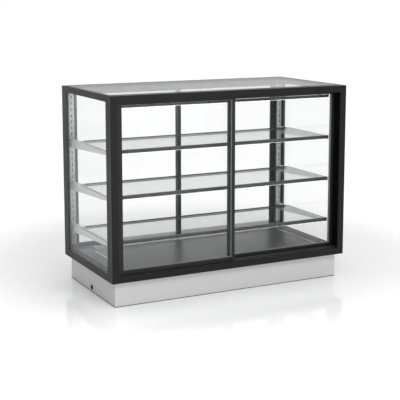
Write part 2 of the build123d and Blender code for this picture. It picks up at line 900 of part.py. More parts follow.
def fan_housing(side):
    """Square fan frame with a round duct, three struts and a motor plate."""
    x0, x1 = side * fan_offset, side * (fan_offset + fan_thickness)
    frame = block(x0, x1, -fan_size / 2, fan_size / 2, tray_top, tray_top + fan_size)
    frame = chamfer(frame.edges().filter_by(Axis.X), fan_corner)
    frame -= hole_x(fan_bore_radius, fan_bore_sides, x0, x1, 0, fan_z)
    plate_end = side * (fan_offset + fan_motor_thickness)
    spider = bar_x(fan_hub_radius, fan_hub_sides, x0, plate_end, 0, fan_z)
    for index in range(3):
        strut = block(x0, side * (fan_offset + fan_motor_thickness / 2), -fan_strut_width / 2,
                      fan_strut_width / 2, 0, fan_bore_radius + fan_corner / 2)
        spider += Pos(0, 0, fan_z) * Rot(120 * index, 0, 0) * strut
    spider -= rod_x(fan_shaft_radius + fan_shaft_gap, x0, plate_end, 0, fan_z)
    return frame + spider


def fan_rotor(side):
    """Hub with pitched blades and the shaft that turns in the motor plate."""
    hub_start = fan_offset + fan_motor_thickness + fan_hub_gap
    hub_end = fan_offset + fan_thickness - fan_hub_gap
    middle = (hub_start + hub_end) / 2
    tip = fan_bore_radius - fan_tip_gap
    chord = fan_blade_share * (hub_end - hub_start) / abs(cos_deg(fan_blade_pitch))
    blades = None
    for index in range(fan_blades):
        blade = Pos(0, 0, tip / 2) * Rot(0, 0, fan_blade_pitch) * Box(chord, fan_blade_thickness, tip)
        blade = Rot(360 / fan_blades * index, 0, 0) * blade
        blades = blade if blades is None else blades + blade
    rotor = Pos(side * middle, 0, fan_z) * blades
    rotor += bar_x(fan_hub_radius, fan_hub_sides, side * hub_start, side * hub_end, 0, fan_z)
    rotor += rod_x(fan_shaft_radius, side * fan_offset, side * hub_start, 0, fan_z)
    return rotor


def cos_deg(angle):
    """Cosine of an angle in degrees."""
    return Vector(1, 0, 0).rotate(Axis.Z, angle).X


def heating_element(side):
    """Hairpin of heating tube on a standing plate, with two terminals."""
    z = tray_top + heater_height
    near = side * (heater_start + heater_plate_thickness)
    far = side * (heater_start + heater_length)
    half = heater_spread / 2
    bend_end = (far + side * half, 0, z)
    path = Polyline((near, -half, z), (far, -half, z))
    path += ThreePointArc((far, -half, z), bend_end, (far, half, z))
    path += Polyline((far, half, z), (near, half, z))
    start = Plane(origin=(near, -half, z), z_dir=(side, 0, 0))
    tube = sweep(start * RegularPolygon(heater_tube / 2, heater_tube_sides), path=path)
    plate = block(side * heater_start, near, -heater_plate_width / 2, heater_plate_width / 2,
                  tray_top, tray_top + heater_plate_height)
    element = plate + tube
    for y in (-half, half):
        element += bar_x(terminal_radius, terminal_sides, side * (heater_start - terminal_length),
                         side * heater_start, y, z)
    return element


def light_driver():
    """Power supply of the lights, a box with two screw ears."""
    half_l, half_w = driver_length / 2, driver_width / 2
    case = block(-half_l, half_l, driver_y - half_w, driver_y + half_w, tray_top, tray_top + driver_height)
    case += block(-half_l - driver_ear, half_l + driver_ear, driver_y - half_w, driver_y + half_w,
                  tray_top, tray_top + driver_ear_thickness)
    for side in (-1, 1):
        hole = Pos(side * (half_l + driver_ear / 2), driver_y)
        case -= run_z(hole * RegularPolygon(driver_hole_radius, driver_hole_sides),
                      tray_top, tray_top + driver_ear_thickness)
    return case


def terminal_block():
    """Row of mains terminals with stepped top and a screw well for each way."""
    x0, x1 = block_x - block_width / 2, block_x + block_width / 2
    y0, y1 = grommet_y - block_length / 2, grommet_y + block_length / 2
    top = tray_top + block_height
    body = block(x0, x1, y0, y1, tray_top, top)
    for edge, step in ((x0, x0 + block_width / 4), (x1 - block_width / 4, x1)):
        body -= block(edge, step, y0, y1, top - block_step, top)
    pitch = block_length / block_ways
    for way in range(block_ways):
        well = Pos(block_x, y0 + pitch * (way + 1 / 2))
        body -= run_z(well * RegularPolygon(block_hole_radius, block_hole_sides), top - block_step, top)
    return body


def panel_screw_places():
    """Places of the four screws of the control panel."""
    x = panel_width / 2 - panel_screw_inset
    z = panel_height / 2 - panel_screw_inset
    return [(panel_x + sx * x, panel_z + sz * z) for sx in (-1, 1) for sz in (-1, 1)]


def control_panel():
    """Plate on the rear of the base that carries the thermostat and switches."""
    plate = block(panel_x - panel_width / 2, panel_x + panel_width / 2, base_rear_y, panel_front_y,
                  panel_z - panel_height / 2, panel_z + panel_height / 2)
    plate -= hole_y(thermostat_neck_radius + panel_hole_gap, thermostat_neck_sides, base_rear_y,
                    panel_front_y, knob_x, panel_z)
    for x in switch_x:
        half_w = switch_width / 2 + panel_hole_gap
        half_h = switch_height / 2 + panel_hole_gap
        plate -= block(x - half_w, x + half_w, base_rear_y, panel_front_y,
                       panel_z - half_h, panel_z + half_h)
    for x, z in panel_screw_places():
        plate -= hole_y(screw_radius + screw_hole_gap, screw_sides, base_rear_y, panel_front_y, x, z)
    return plate


def panel_screw(x, z):
    """Screw of the control panel."""
    screw = bar_y(screw_head_radius, screw_head_sides, panel_front_y,
                  panel_front_y + screw_head_height, x, z)
    return screw + bar_y(screw_radius, screw_sides, panel_front_y - panel_screw_length,
                         panel_front_y, x, z)


def thermostat_body():
    """Regulator behind the panel, with a neck through it and a bore for the spindle."""
    half = thermostat_size / 2
    body = block(knob_x - half, knob_x + half, base_rear_y - thermostat_depth, base_rear_y,
                 panel_z - half, panel_z + half)
    body += bar_y(thermostat_neck_radius, thermostat_neck_sides, base_rear_y, panel_front_y,
                  knob_x, panel_z)
    return body - rod_y(spindle_radius + spindle_gap, panel_front_y - spindle_length - spindle_gap,
                        panel_front_y, knob_x, panel_z)


def thermostat_knob():
    """Fluted knob with a raised pointer, on the spindle that turns in the regulator."""
    start = panel_front_y + knob_skirt_gap
    end = start + knob_height
    knob = rod_y(knob_radius, start, end, knob_x, panel_z)
    for index in range(knob_flutes):
        angle = 360 / knob_flutes * (index + 1 / 2)
        flute = bar_y(knob_flute_radius, knob_flute_sides, start, end,
                      0, knob_radius + knob_flute_radius - knob_flute_depth)
        knob -= Pos(knob_x, 0, panel_z) * Rot(0, angle, 0) * flute
    knob += block(knob_x - knob_pointer_width / 2, knob_x + knob_pointer_width / 2, end,
                  end + knob_pointer_width / 2, panel_z, panel_z + knob_radius - knob_flute_radius)
    return knob + rod_y(spindle_radius, panel_front_y - spindle_length, start, knob_x, panel_z)


def switch_body(x):
    """Housing of a rocker switch, with a bezel and a round pocket for the rocker."""
    half_w, half_h = switch_width / 2, switch_height / 2
    body = block(x - half_w, x + half_w, panel_front_y - switch_depth, panel_front_y,
                 panel_z - half_h, panel_z + half_h)
    body += block(x - half_w - bezel_lap, x + half_w + bezel_lap, panel_front_y,
                  panel_front_y + bezel_thickness, panel_z - half_h - bezel_lap,
                  panel_z + half_h + bezel_lap)
    pocket_half = rocker_width / 2 + rocker_gap
    pocket = rocker_radius + rocker_gap
    body -= hole_x(pocket, rocker_sides, x - pocket_half, x + pocket_half, rocker_y, panel_z)
    pin = rocker_width / 2 + rocker_pin_length + rocker_pin_gap
    return body - rod_x(rocker_pin_radius + rocker_pin_gap, x - pin, x + pin, rocker_y, panel_z)


def rocker(x):
    """Rocker with a crown of two facets, tipped to its off position, on two pins."""
    outline = polygon([(rocker_crown, 0), (rocker_crown + rocker_rise, rocker_radius),
                       (-rocker_radius, rocker_radius), (-rocker_radius, -rocker_radius),
                       (rocker_crown + rocker_rise, -rocker_radius)])
    section = outline & RegularPolygon(rocker_radius, rocker_sides)
    piece = extrude(Plane.YZ.offset(-rocker_width / 2) * section, rocker_width)
    pin = rocker_width / 2 + rocker_pin_length
    piece += rod_x(rocker_pin_radius, -pin, pin, 0, 0)
    return Pos(x, rocker_y, panel_z) * Rot(rocker_half_angle, 0, 0) * piece


def build():
    """Write every piece to its own file."""
    os.makedirs("parts", exist_ok=True)
    for side, name in ((-1, "left"), (1, "right")):
        save(f"front_{name}_post", front_post(side))
        save(f"rear_{name}_post", rear_post(side))
        save(f"{name}_glass", side_glass(side))
        save(f"{name}_standard", standard(side))
        save(f"{name}_fan_rotor", fan_rotor(side))
    save("upper_side_rails", side_head_rail(-1), side_head_rail(1))
    save("lower_side_rails", side_sill_rail(-1), side_sill_rail(1))
    save("top_glass", top_glass())
    save("lower_tracks", lower_track(front_pair), lower_track(rear_pair))
    save("glazing_gaskets", side_gasket(-1), side_gasket(1), top_gasket())
    for place, pair in (("front", front_pair), ("rear", rear_pair)):
        save(f"{place}_head_rail", head_rail(pair))
        save(f"{place}_sill_rail", sill_rail(pair))
        for track in (0, 1):
            outer_name = "left" if pair.outer_x_side() < 0 else "right"
            inner_name = "right" if pair.outer_x_side() < 0 else "left"
            door = f"{place}_{(outer_name, inner_name)[track]}_door"
            save(f"{door}_frame", door_frame(pair, track))
            save(f"{door}_glass", door_glass(pair, track))
            save(f"{door}_glides", *door_glides(pair, track))
    for name, slot in shelf_slots.items():
        save(f"{name}_shelf_glass", shelf_glass(slot))
        save(f"{name}_shelf_brackets", bracket(-1, slot), bracket(1, slot))
    slots = shelf_slots.values()
    save("shelf_front_rails", *[shelf_front_rail(slot) for slot in slots])
    save("shelf_rear_rails", *[shelf_rear_rail(slot) for slot in slots])
    save("light_strips", light_strip(top_light_foot()),
         *[light_strip(shelf_top(slot) - shelf_rail_height) for slot in slots])
    save("top_light_rail", top_light_rail())
    save("deck_panel", deck_panel())
    save("side_vent_grilles", side_grille(-1), side_grille(1))
    save("rear_vent_grille", rear_grille())
    save("base_shell", base_shell())
    save("base_floor", base_floor())
    save("floor_insulation", floor_insulation())
    save("inner_tray", inner_tray())
    save("cable_grommet", cable_grommet())
    save("fan_housings", fan_housing(-1), fan_housing(1))
    save("heating_elements", heating_element(-1), heating_element(1))
    save("light_driver", light_driver())
    save("terminal_block", terminal_block())
    save("control_panel", control_panel())
    save("thermostat_body", thermostat_body())
    save("thermostat_knob", thermostat_knob())
    save("switch_bodies", *[switch_body(x) for x in switch_x])
    save("heater_rocker", rocker(switch_x[0]))
    save("light_rocker", rocker(switch_x[1]))
    screws = [panel_screw(x, z) for x, z in panel_screw_places()]
    screws += [standard_screw(side, z) for side in (-1, 1) for z in standard_screw_places()]
    save("screws", *screws)


build()
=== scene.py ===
"""Heated drop-in display case: finishes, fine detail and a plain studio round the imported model."""
import logging
import math
from dataclasses import dataclass
from enum import Enum
from functools import cache, cached_property
from typing import Sequence, Union

import bmesh
import bpy
from mathutils import Matrix, Vector


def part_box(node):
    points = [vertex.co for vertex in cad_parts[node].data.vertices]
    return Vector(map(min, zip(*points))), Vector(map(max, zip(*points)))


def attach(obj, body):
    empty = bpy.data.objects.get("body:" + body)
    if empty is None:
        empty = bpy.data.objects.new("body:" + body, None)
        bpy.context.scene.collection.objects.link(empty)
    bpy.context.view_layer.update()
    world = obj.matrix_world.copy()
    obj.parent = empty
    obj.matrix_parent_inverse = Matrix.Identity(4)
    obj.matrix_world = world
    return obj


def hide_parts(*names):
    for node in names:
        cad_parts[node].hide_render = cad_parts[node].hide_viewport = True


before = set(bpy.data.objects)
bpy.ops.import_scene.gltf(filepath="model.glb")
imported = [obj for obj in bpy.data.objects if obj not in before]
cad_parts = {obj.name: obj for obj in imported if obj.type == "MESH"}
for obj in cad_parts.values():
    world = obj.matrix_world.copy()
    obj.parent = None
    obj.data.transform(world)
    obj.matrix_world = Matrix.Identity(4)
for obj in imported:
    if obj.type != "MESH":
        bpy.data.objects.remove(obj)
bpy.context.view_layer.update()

log = logging.getLogger("display_case")

Colour = tuple[float, float, float]
Point = tuple[float, float, float]
Flat = tuple[float, float]
Socket = bpy.types.NodeSocket
Tree = bpy.types.NodeTree
Thing = bpy.types.Object
MM = 0.001
WELD = 1e-6
TOUCH = 1e-5


class Grain(Enum):
    """Direction in which a sheet or profile was brushed."""

    ALONG_X = (1.0, 60.0, 60.0)
    ALONG_Y = (60.0, 1.0, 60.0)
    ALONG_Z = (60.0, 60.0, 1.0)


class Facing(Enum):
    """Way that the outer face of a small part looks."""

    FRONT = -1
    REAR = 1


class Axis(Enum):
    """Axis of the case, by its number."""

    X = 0
    Y = 1
    Z = 2


# Node graphs


class Value:
    """A value in a node graph that can stand in an arithmetic expression."""

    def __init__(self, graph: "Graph", socket: Socket) -> None:
        """Wrap a socket of a graph."""
        self.graph = graph
        self.socket = socket

    def __add__(self, other: "Term") -> "Value":
        """Sum."""
        return self.graph.math("ADD", self, other)

    __radd__ = __add__

    def __sub__(self, other: "Term") -> "Value":
        """Difference."""
        return self.graph.math("SUBTRACT", self, other)

    def __rsub__(self, other: "Term") -> "Value":
        """Difference with the value on the right."""
        return self.graph.math("SUBTRACT", other, self)

    def __mul__(self, other: "Term") -> "Value":
        """Product."""
        return self.graph.math("MULTIPLY", self, other)

    __rmul__ = __mul__

    def __pow__(self, other: "Term") -> "Value":
        """Power."""
        return self.graph.math("POWER", self, other)

    def __abs__(self) -> "Value":
        """Size without its sign."""
        return self.graph.math("ABSOLUTE", self)

    def step(self, low: float, high: float, start: float = 0.0, end: float = 1.0) -> "Value":
        """Smooth change from start to end as the value goes from low to high."""
        feeds = {"Value": self, "From Min": low, "From Max": high, "To Min": start, "To Max": end}
        return self.graph.value("ShaderNodeMapRange", feeds, interpolation_type="SMOOTHSTEP")


Term = Union[Value, float]
Feed = Union[Value, Socket, float, int, str, bool, tuple, bpy.types.ID, None]


class Graph:
    """A shader or geometry node tree in the making."""

    def __init__(self, tree: Tree) -> None:
        """Start from an empty tree."""
        self.tree = tree
        tree.nodes.clear()

    def node(self, kind: str, feeds: dict[str | int, Feed] | None = None,
             **settings: object) -> bpy.types.Node:
        """Add one node.

        Args:
            kind: Type of the node.
            feeds: Values or links of the inputs, by name or number.
            settings: Properties, set before the inputs. A ramp takes its stops as "stops".

        Returns:
            The node.
        """
        made = self.tree.nodes.new(kind)
        for name, setting in settings.items():
            if name == "stops":
                self.set_stops(made.color_ramp, setting)
            else:
                setattr(made, name, setting)
        for key, feed in (feeds or {}).items():
            self.feed(made.inputs[key], feed)
        return made

    @staticmethod
    def set_stops(ramp: bpy.types.ColorRamp, stops: Sequence[tuple[float, Colour]]) -> None:
        """Give a ramp its stops.

        Args:
            ramp: The ramp.
            stops: Place and colour of each stop.
        """
        while len(ramp.elements) < len(stops):
            ramp.elements.new(0.5)
        for element, (place, colour) in zip(ramp.elements, stops):
            element.position = place
            element.color = (*colour, 1.0)

    def feed(self, socket: Socket, feed: Feed) -> None:
        """Set or link one input.

        Args:
            socket: The input.
            feed: What it gets. Nothing leaves it as it is.
        """
        if isinstance(feed, Value):
            feed = feed.socket
        if isinstance(feed, Socket):
            self.tree.links.new(feed, socket)
        elif isinstance(feed, tuple) and socket.type == "RGBA":
            socket.default_value = (*feed, 1.0)
        elif feed is not None:
            socket.default_value = feed

    def value(self, kind: str, feeds: dict[str | int, Feed] | None = None, **settings: object) -> Value:
        """Add one node and wrap its first output."""
        return Value(self, self.node(kind, feeds, **settings).outputs[0])

    def math(self, operation: str, left: Term, right: Term = 0.0) -> Value:
        """Join two numbers with a Math node."""
        return self.value("ShaderNodeMath", {0: left, 1: right}, operation=operation)

    def within(self, value: Term, low: float = 0.0, high: float = 1.0) -> Value:
        """Keep a value between two levels."""
        return self.math("MINIMUM", self.math("MAXIMUM", value, low), high)


class Coat(Graph):
    """The node tree of one material."""

    def __init__(self, name: str) -> None:
        """Make an empty material.

        Args:
            name: Name of the material.
        """
        self.material = bpy.data.materials.new(name)
        self.material.use_nodes = True
        super().__init__(self.material.node_tree)
        made = self.node("ShaderNodeTexCoord")
        self.place, self.normal = made.outputs["Object"], made.outputs["Normal"]

    def axes(self, socket: Socket) -> tuple[Value, ...]:
        """The three parts of a vector."""
        return tuple(Value(self, out) for out in self.node("ShaderNodeSeparateXYZ", {0: socket}).outputs)

    def stretched(self, scale: Point) -> Socket:
        """The place on the object, scaled on each axis."""
        return self.node("ShaderNodeMapping", {"Vector": self.place, "Scale": scale}).outputs[0]

    def noise(self, scale: float, detail: float = 2.0, rough: float = 0.5,
              place: Socket | None = None) -> Value:
        """Cloudy noise from 0 to 1, with its clouds a metre, finer layers and their weight."""
        feeds = {"Vector": place or self.place, "Scale": scale, "Detail": detail, "Roughness": rough}
        return self.value("ShaderNodeTexNoise", feeds)

    def cells(self, scale: float) -> Value:
        """Distance to the nearest of scattered points."""
        return self.value("ShaderNodeTexVoronoi", {"Vector": self.place, "Scale": scale}, feature="F1")

    def mix(self, factor: Term, first: Feed, second: Feed) -> Socket:
        """Blend of two colours."""
        return self.node("ShaderNodeMix", {0: factor, 6: first, 7: second}, data_type="RGBA").outputs[2]

    def tones(self, factor: Term, *stops: tuple[float, Colour]) -> Socket:
        """Colour that follows a value along a ramp."""
        return self.node("ShaderNodeValToRGB", {0: factor}, stops=stops).outputs[0]

    def soft_edge(self, radius: float) -> Socket:
        """Surface direction with the sharp edges rounded."""
        return self.node("ShaderNodeBevel", {"Radius": radius}, samples=4).outputs[0]

    def bump(self, height: Value, depth: float, strength: float, base: Socket | None = None) -> Socket:
        """Surface direction of a fine relief of a depth in metres, over a base direction."""
        feeds = {"Strength": strength, "Distance": depth, "Height": height, "Normal": base}
        return self.node("ShaderNodeBump", feeds).outputs[0]

    def finish(self, **feeds: Feed) -> None:
        """Join everything to one surface.

        Args:
            feeds: Inputs of the surface, with underlines for spaces.
        """
        inputs = {key.replace("_", " "): feed for key, feed in feeds.items()}
        surface = self.node("ShaderNodeBsdfPrincipled", inputs)
        self.node("ShaderNodeOutputMaterial", {"Surface": surface.outputs[0]})


# Finishes


def toned(colour: Colour, times: float, plus: float = 0.0) -> Colour:
    """A brighter or darker colour."""
    return tuple(min(1.0, part * times + plus) for part in colour)


@dataclass(frozen=True)
class Finish:
    """A finish, whose material is made once, when it is first used."""

    name: str

    @cached_property
    def coat(self) -> Coat:
        """The node tree of the material."""
        return Coat(self.name)

    @cached_property
    def material(self) -> bpy.types.Material:
        """The material, with its tree filled."""
        self.fill()
        return self.coat.material

    def fill(self) -> None:
        """Fill the node tree of the material."""
        raise NotImplementedError


@dataclass(frozen=True)
class PowderCoat(Finish):
    """Satin powder coat on aluminium or steel, with a fine orange-peel relief and soft edges."""

    colour: Colour
    roughness: float = 0.42
    gloss: float = 0.28
    wear: float = 0.12

    def fill(self) -> None:
        """Fill the tree with the coat, its dust and its rubbed places."""
        coat = self.coat
        broad = coat.noise(5.0, 3.0)
        peel = coat.noise(1500.0, 1.0)
        dust = coat.noise(210.0, 6.0, 0.7).step(0.62, 0.78)
        rubbed = coat.noise(38.0, 5.0, 0.65).step(0.60, 0.74)
        body = coat.mix(broad, self.colour, toned(self.colour, 1.3, 0.001))
        colour = coat.mix(dust * 0.10 + rubbed * self.wear, body, toned(self.colour, 2.0, 0.012))
        rough = coat.within(self.roughness + (broad - 0.5) * 0.16 + rubbed * 0.07 + dust * 0.08, 0.05)
        relief = coat.bump(peel, 0.12 * MM, 0.16, coat.soft_edge(0.6 * MM))
        coat.finish(Base_Color=colour, Roughness=rough, Normal=relief, Specular_IOR_Level=self.gloss)


@dataclass(frozen=True)
class BrushedMetal(Finish):
    """Brushed or satin sheet metal with grain, faint smears and soft edges."""

    colour: Colour
    grain: Grain
    roughness: float = 0.34
    contrast: float = 0.10
    metallic: float = 1.0

    def fill(self) -> None:
        """Fill the tree with the brushed lines, the smears and the marks."""
        coat = self.coat
        lines = coat.noise(28.0, 4.0, 0.7, coat.stretched(self.grain.value))
        fine = coat.noise(90.0, 2.0, 0.5, coat.stretched(self.grain.value))
        smear = coat.noise(4.5, 4.0, 0.6)
        marks = coat.noise(16.0, 3.0, 0.7).step(0.58, 0.72)
        dark, light = toned(self.colour, 1.0 - self.contrast * 1.6), toned(self.colour, 1.0 + self.contrast)
        rough = coat.within(self.roughness + (lines - 0.5) * 0.22 + marks * 0.07, 0.05)
        relief = coat.bump(fine, 0.05 * MM, 0.12, coat.soft_edge(0.5 * MM))
        coat.finish(Base_Color=coat.mix(lines * 0.7 + smear * 0.3, dark, light), Roughness=rough,
                    Normal=relief, Metallic=self.metallic)


@dataclass(frozen=True)
class SpangledSheet(Finish):
    """Galvanised sheet with its frost-like spangle."""

    colour: Colour

    def fill(self) -> None:
        """Fill the tree with the spangle and the streaks."""
        coat = self.coat
        flakes = coat.cells(95.0)
        streak = coat.noise(11.0, 4.0)
        rough = coat.within(0.34 + flakes * 0.25 + streak * 0.12, 0.1)
        coat.finish(Base_Color=coat.mix(flakes * 1.2, self.colour, toned(self.colour, 0.72)),
                    Roughness=rough, Metallic=0.9,
                    Normal=coat.bump(flakes, 0.08 * MM, 0.15, coat.soft_edge(0.5 * MM)))


@dataclass(frozen=True)
class ClearGlass(Finish):
    """Clear toughened glass, seen as its reflections, a faint tint and greenish ground edges."""

    across: Axis
    tint: Colour
    haze: float
    sheen: float
    edge_colour: Colour = (0.06, 0.10, 0.09)

    def fill(self) -> None:
        """Fill the tree with the mirror, the ground rim and the wiping marks."""
        coat = self.coat
        rim = 1.0 - abs(coat.axes(coat.normal)[self.across.value]).step(0.35, 0.75)
        smear = coat.noise(7.0, 5.0, 0.62).step(0.52, 0.80)
        wipe = coat.noise(20.0, 3.0, 0.6, coat.stretched((1.0, 0.3, 1.0))).step(0.56, 0.74)
        slant = Value(coat, coat.node("ShaderNodeLayerWeight", {"Blend": 0.5}).outputs["Facing"])
        mirror = 0.04 + 0.96 * slant ** 5.0
        see = coat.within(self.haze + mirror * self.sheen + smear * 0.012 + rim * 0.55, 0.0, 0.97)
        rough = coat.within(0.025 + smear * 0.05 + wipe * 0.03 + rim * 0.22)
        coat.finish(Base_Color=coat.mix(rim, self.tint, self.edge_colour), Roughness=rough,
                    Metallic=1.0 - rim, Alpha=see)
        coat.material.surface_render_method = "BLENDED"


@dataclass(frozen=True)
class SoftRubber(Finish):
    """Black or grey seal rubber with a dry bloom."""

    colour: Colour
    roughness: float = 0.62
    bloom: float = 0.5
    gloss: float = 0.3

    def fill(self) -> None:
        """Fill the tree with the bloom and the skin."""
        coat = self.coat
        bloom = coat.noise(60.0, 5.0, 0.65)
        skin = coat.noise(900.0, 2.0)
        colour = coat.mix(bloom.step(0.45, 0.85) * self.bloom, self.colour, toned(self.colour, 2.2, 0.02))
        rough = coat.within(self.roughness + (bloom - 0.5) * 0.3, 0.2)
        coat.finish(Base_Color=colour, Roughness=rough, Specular_IOR_Level=self.gloss,
                    Normal=coat.bump(skin, 0.1 * MM, 0.2))


@dataclass(frozen=True)
class MouldedPlastic(Finish):
    """Moulded plastic with a spark-eroded grain."""

    colour: Colour
    roughness: float = 0.48
    relief: float = 0.25
    soft: float = 0.0

    def fill(self) -> None:
        """Fill the tree with the grain and faint clouds."""
        coat = self.coat
        grain = coat.cells(2000.0)
        cloud = coat.noise(24.0, 3.0)
        colour = coat.mix(cloud * 0.7 + grain * 0.3, self.colour, toned(self.colour, 1.18, 0.006))
        rough = coat.within(self.roughness + (cloud - 0.5) * 0.18 + grain * 0.06, 0.05)
        relief = coat.bump(grain, 0.06 * MM, self.relief, coat.soft_edge(0.35 * MM))
        coat.finish(Base_Color=colour, Roughness=rough, Normal=relief,
                    Subsurface_Weight=self.soft, Subsurface_Scale=1.5 * MM)


@dataclass(frozen=True)
class OpalLight(Finish):
    """Opal lens over a row of diodes, a little brighter over each one."""

    pitch: float = 16.0 * MM
    strength: float = 5.0
    colour: Colour = (0.97, 0.99, 1.0)

    def fill(self) -> None:
        """Fill the tree with the glow and a faint mottle."""
        coat = self.coat
        spot = coat.math("COSINE", coat.axes(coat.place)[0] * (math.tau / self.pitch)).step(-0.2, 1.0)
        mottle = coat.noise(140.0, 3.0)
        glow = coat.mix(spot * 0.8 + mottle * 0.2, toned(self.colour, 0.62), self.colour)
        coat.finish(Base_Color=coat.mix(mottle, (0.86, 0.86, 0.84), (0.93, 0.93, 0.91)),
                    Roughness=coat.within(0.30 + mottle * 0.12), Emission_Color=glow,
                    Emission_Strength=self.strength)


@dataclass(frozen=True)
class FurnaceTube(Finish):
    """Sheathed heating tube, straw to blue-grey with oxide bands."""

    def fill(self) -> None:
        """Fill the tree with the bands and the scale."""
        coat = self.coat
        band = coat.noise(26.0, 4.0, 0.6, coat.stretched((1.6, 0.7, 0.7)))
        scale = coat.noise(420.0, 3.0)
        colour = coat.tones(band, (0.25, (0.20, 0.19, 0.20)), (0.45, (0.30, 0.24, 0.20)),
                            (0.58, (0.42, 0.34, 0.24)), (0.75, (0.23, 0.23, 0.27)))
        coat.finish(Base_Color=colour, Roughness=coat.within(0.36 + band * 0.22 + scale * 0.1),
                    Metallic=0.85, Normal=coat.bump(scale, 0.05 * MM, 0.3))


@dataclass(frozen=True)
class WoolBoard(Finish):
    """Pressed mineral wool with loose fibres."""

    def fill(self) -> None:
        """Fill the tree with the tufts and the fibres."""
        coat = self.coat
        tuft = coat.noise(75.0, 8.0, 0.72)
        fibre = coat.noise(260.0, 4.0, 0.7, coat.stretched((1.0, 4.0, 2.0)))
        colour = coat.tones(tuft * 0.6 + fibre * 0.4, (0.3, (0.36, 0.29, 0.13)), (0.5, (0.60, 0.52, 0.28)),
                            (0.72, (0.80, 0.73, 0.48)))
        coat.finish(Base_Color=colour, Roughness=coat.within(0.85 + tuft * 0.1),
                    Normal=coat.bump(fibre, 0.8 * MM, 0.6), Specular_IOR_Level=0.1)


@dataclass(frozen=True)
class PrintInk(Finish):
    """Screen-printed ink with pinholes and slightly worn edges."""

    colour: Colour

    def fill(self) -> None:
        """Fill the tree with the pinholes and the fading."""
        coat = self.coat
        pin = coat.noise(1800.0, 3.0, 0.7).step(0.60, 0.75)
        fade = coat.noise(90.0, 3.0)
        worn = coat.mix(pin * 0.5 + fade * 0.3, self.colour, toned(self.colour, 0.72))
        coat.finish(Base_Color=worn, Roughness=coat.within(0.42 + fade * 0.15))


FRAME_PAINT = PowderCoat("frame powder coat", (0.0046, 0.0046, 0.0050), gloss=0.18)
# Door coat: a little lighter than the frame coat; the difference is painted light that offsets the shade in
# the recessed doors.
DOOR_PAINT_LIFTED = PowderCoat("door powder coat", (0.0085, 0.0085, 0.0091), roughness=0.40, gloss=0.22)
RAIL_PAINT = PowderCoat("shelf rail coat", (0.030, 0.030, 0.031), roughness=0.40, gloss=0.30)
DECK_PAINT = PowderCoat("deck coat", (0.018, 0.0185, 0.0195), roughness=0.34, gloss=0.58, wear=0.22)
GRILLE_PAINT = PowderCoat("vent grille coat", (0.030, 0.0305, 0.032), roughness=0.36, gloss=0.50, wear=0.3)
CHANNEL_METAL = PowderCoat("light channel coat", (0.010, 0.010, 0.011), roughness=0.38, gloss=0.25)
PANE_X = ClearGlass("side pane glass", Axis.X, tint=(0.62, 0.65, 0.65), haze=0.012, sheen=0.8)
PANE_Y = ClearGlass("door pane glass", Axis.Y, tint=(0.45, 0.47, 0.47), haze=0.006, sheen=0.4)
PANE_TOP = ClearGlass("top pane glass", Axis.Z, tint=(0.98, 0.99, 1.0), haze=0.02, sheen=0.60)
PANE_SHELF = ClearGlass("shelf pane glass", Axis.Z, tint=(0.62, 0.65, 0.64), haze=0.04, sheen=0.75,
                        edge_colour=(0.30, 0.36, 0.34))
SEAL = SoftRubber("glazing seal", (0.14, 0.14, 0.142))
SHELF_SEAL = SoftRubber("shelf seal", (0.006, 0.006, 0.006), roughness=0.8, bloom=0.1, gloss=0.1)
DOOR_SEAL = SoftRubber("door glazing seal", (0.16, 0.161, 0.163), roughness=0.6, bloom=0.2)
# Jamb seal: near-black, painted shade in the post reveals.
PILE_PAINTED_SHADE = SoftRubber("jamb seal rubber", (0.0025, 0.0025, 0.0025), roughness=0.95, bloom=0.05, gloss=0.03)
# Foot bead: sealant whose dark grey is partly painted contact shadow at the foot of the base.
SEALANT_AND_SHADOW = SoftRubber("foot sealant", (0.035, 0.035, 0.036), roughness=0.7)
GROMMET = SoftRubber("grommet rubber", (0.010, 0.010, 0.010), roughness=0.5)
TRACK_METAL = BrushedMetal("track aluminium", (0.085, 0.085, 0.09), Grain.ALONG_X, roughness=0.4)
STANDARD_STEEL = BrushedMetal("standard steel", (0.36, 0.36, 0.355), Grain.ALONG_Z, roughness=0.28,
                              contrast=0.12)
# Standard slot rims: dark, painted shade round each punched slot.
STANDARD_SLOT_SHADE = BrushedMetal("standard slot rim", (0.16, 0.16, 0.16), Grain.ALONG_Z, roughness=0.40,
                            metallic=0.6)
BRACKET_STEEL = BrushedMetal("bracket steel", (0.60, 0.60, 0.60), Grain.ALONG_Y, roughness=0.42,
                             metallic=0.4)
# Grille lip: near-white, painted highlight along the inner grille edge.
LIP_HIGHLIGHT_METAL = BrushedMetal("grille lip metal", (0.95, 0.95, 0.95), Grain.ALONG_Y, roughness=0.30,
                         metallic=0.2)
SIDE_RIM = BrushedMetal("side slot rim metal", (0.24, 0.24, 0.245), Grain.ALONG_X, metallic=0.3)
RIM_METAL = BrushedMetal("slot rim metal", (0.88, 0.88, 0.88), Grain.ALONG_Y, roughness=0.24)
BASE_STEEL = BrushedMetal("base steel", (0.53, 0.53, 0.535), Grain.ALONG_X, roughness=0.45, contrast=0.05,
                          metallic=0.3)
DRIVER_CASE = BrushedMetal("driver case", (0.66, 0.67, 0.68), Grain.ALONG_X, roughness=0.42)
SCREW_STEEL = BrushedMetal("screw steel", (0.58, 0.58, 0.57), Grain.ALONG_Z, roughness=0.28)
TRAY_SHEET = SpangledSheet("tray sheet", (0.58, 0.59, 0.60))
WOOL = WoolBoard("mineral wool")
TUBE = FurnaceTube("heater tube")
NYLON = MouldedPlastic("glide nylon", (0.70, 0.69, 0.64), roughness=0.5, soft=0.15)
FAN_PLASTIC = MouldedPlastic("fan plastic", (0.018, 0.018, 0.019), roughness=0.42)
TERMINAL = MouldedPlastic("terminal plastic", (0.78, 0.76, 0.68), roughness=0.35)
REGULATOR = MouldedPlastic("regulator plastic", (0.55, 0.53, 0.47), roughness=0.45)
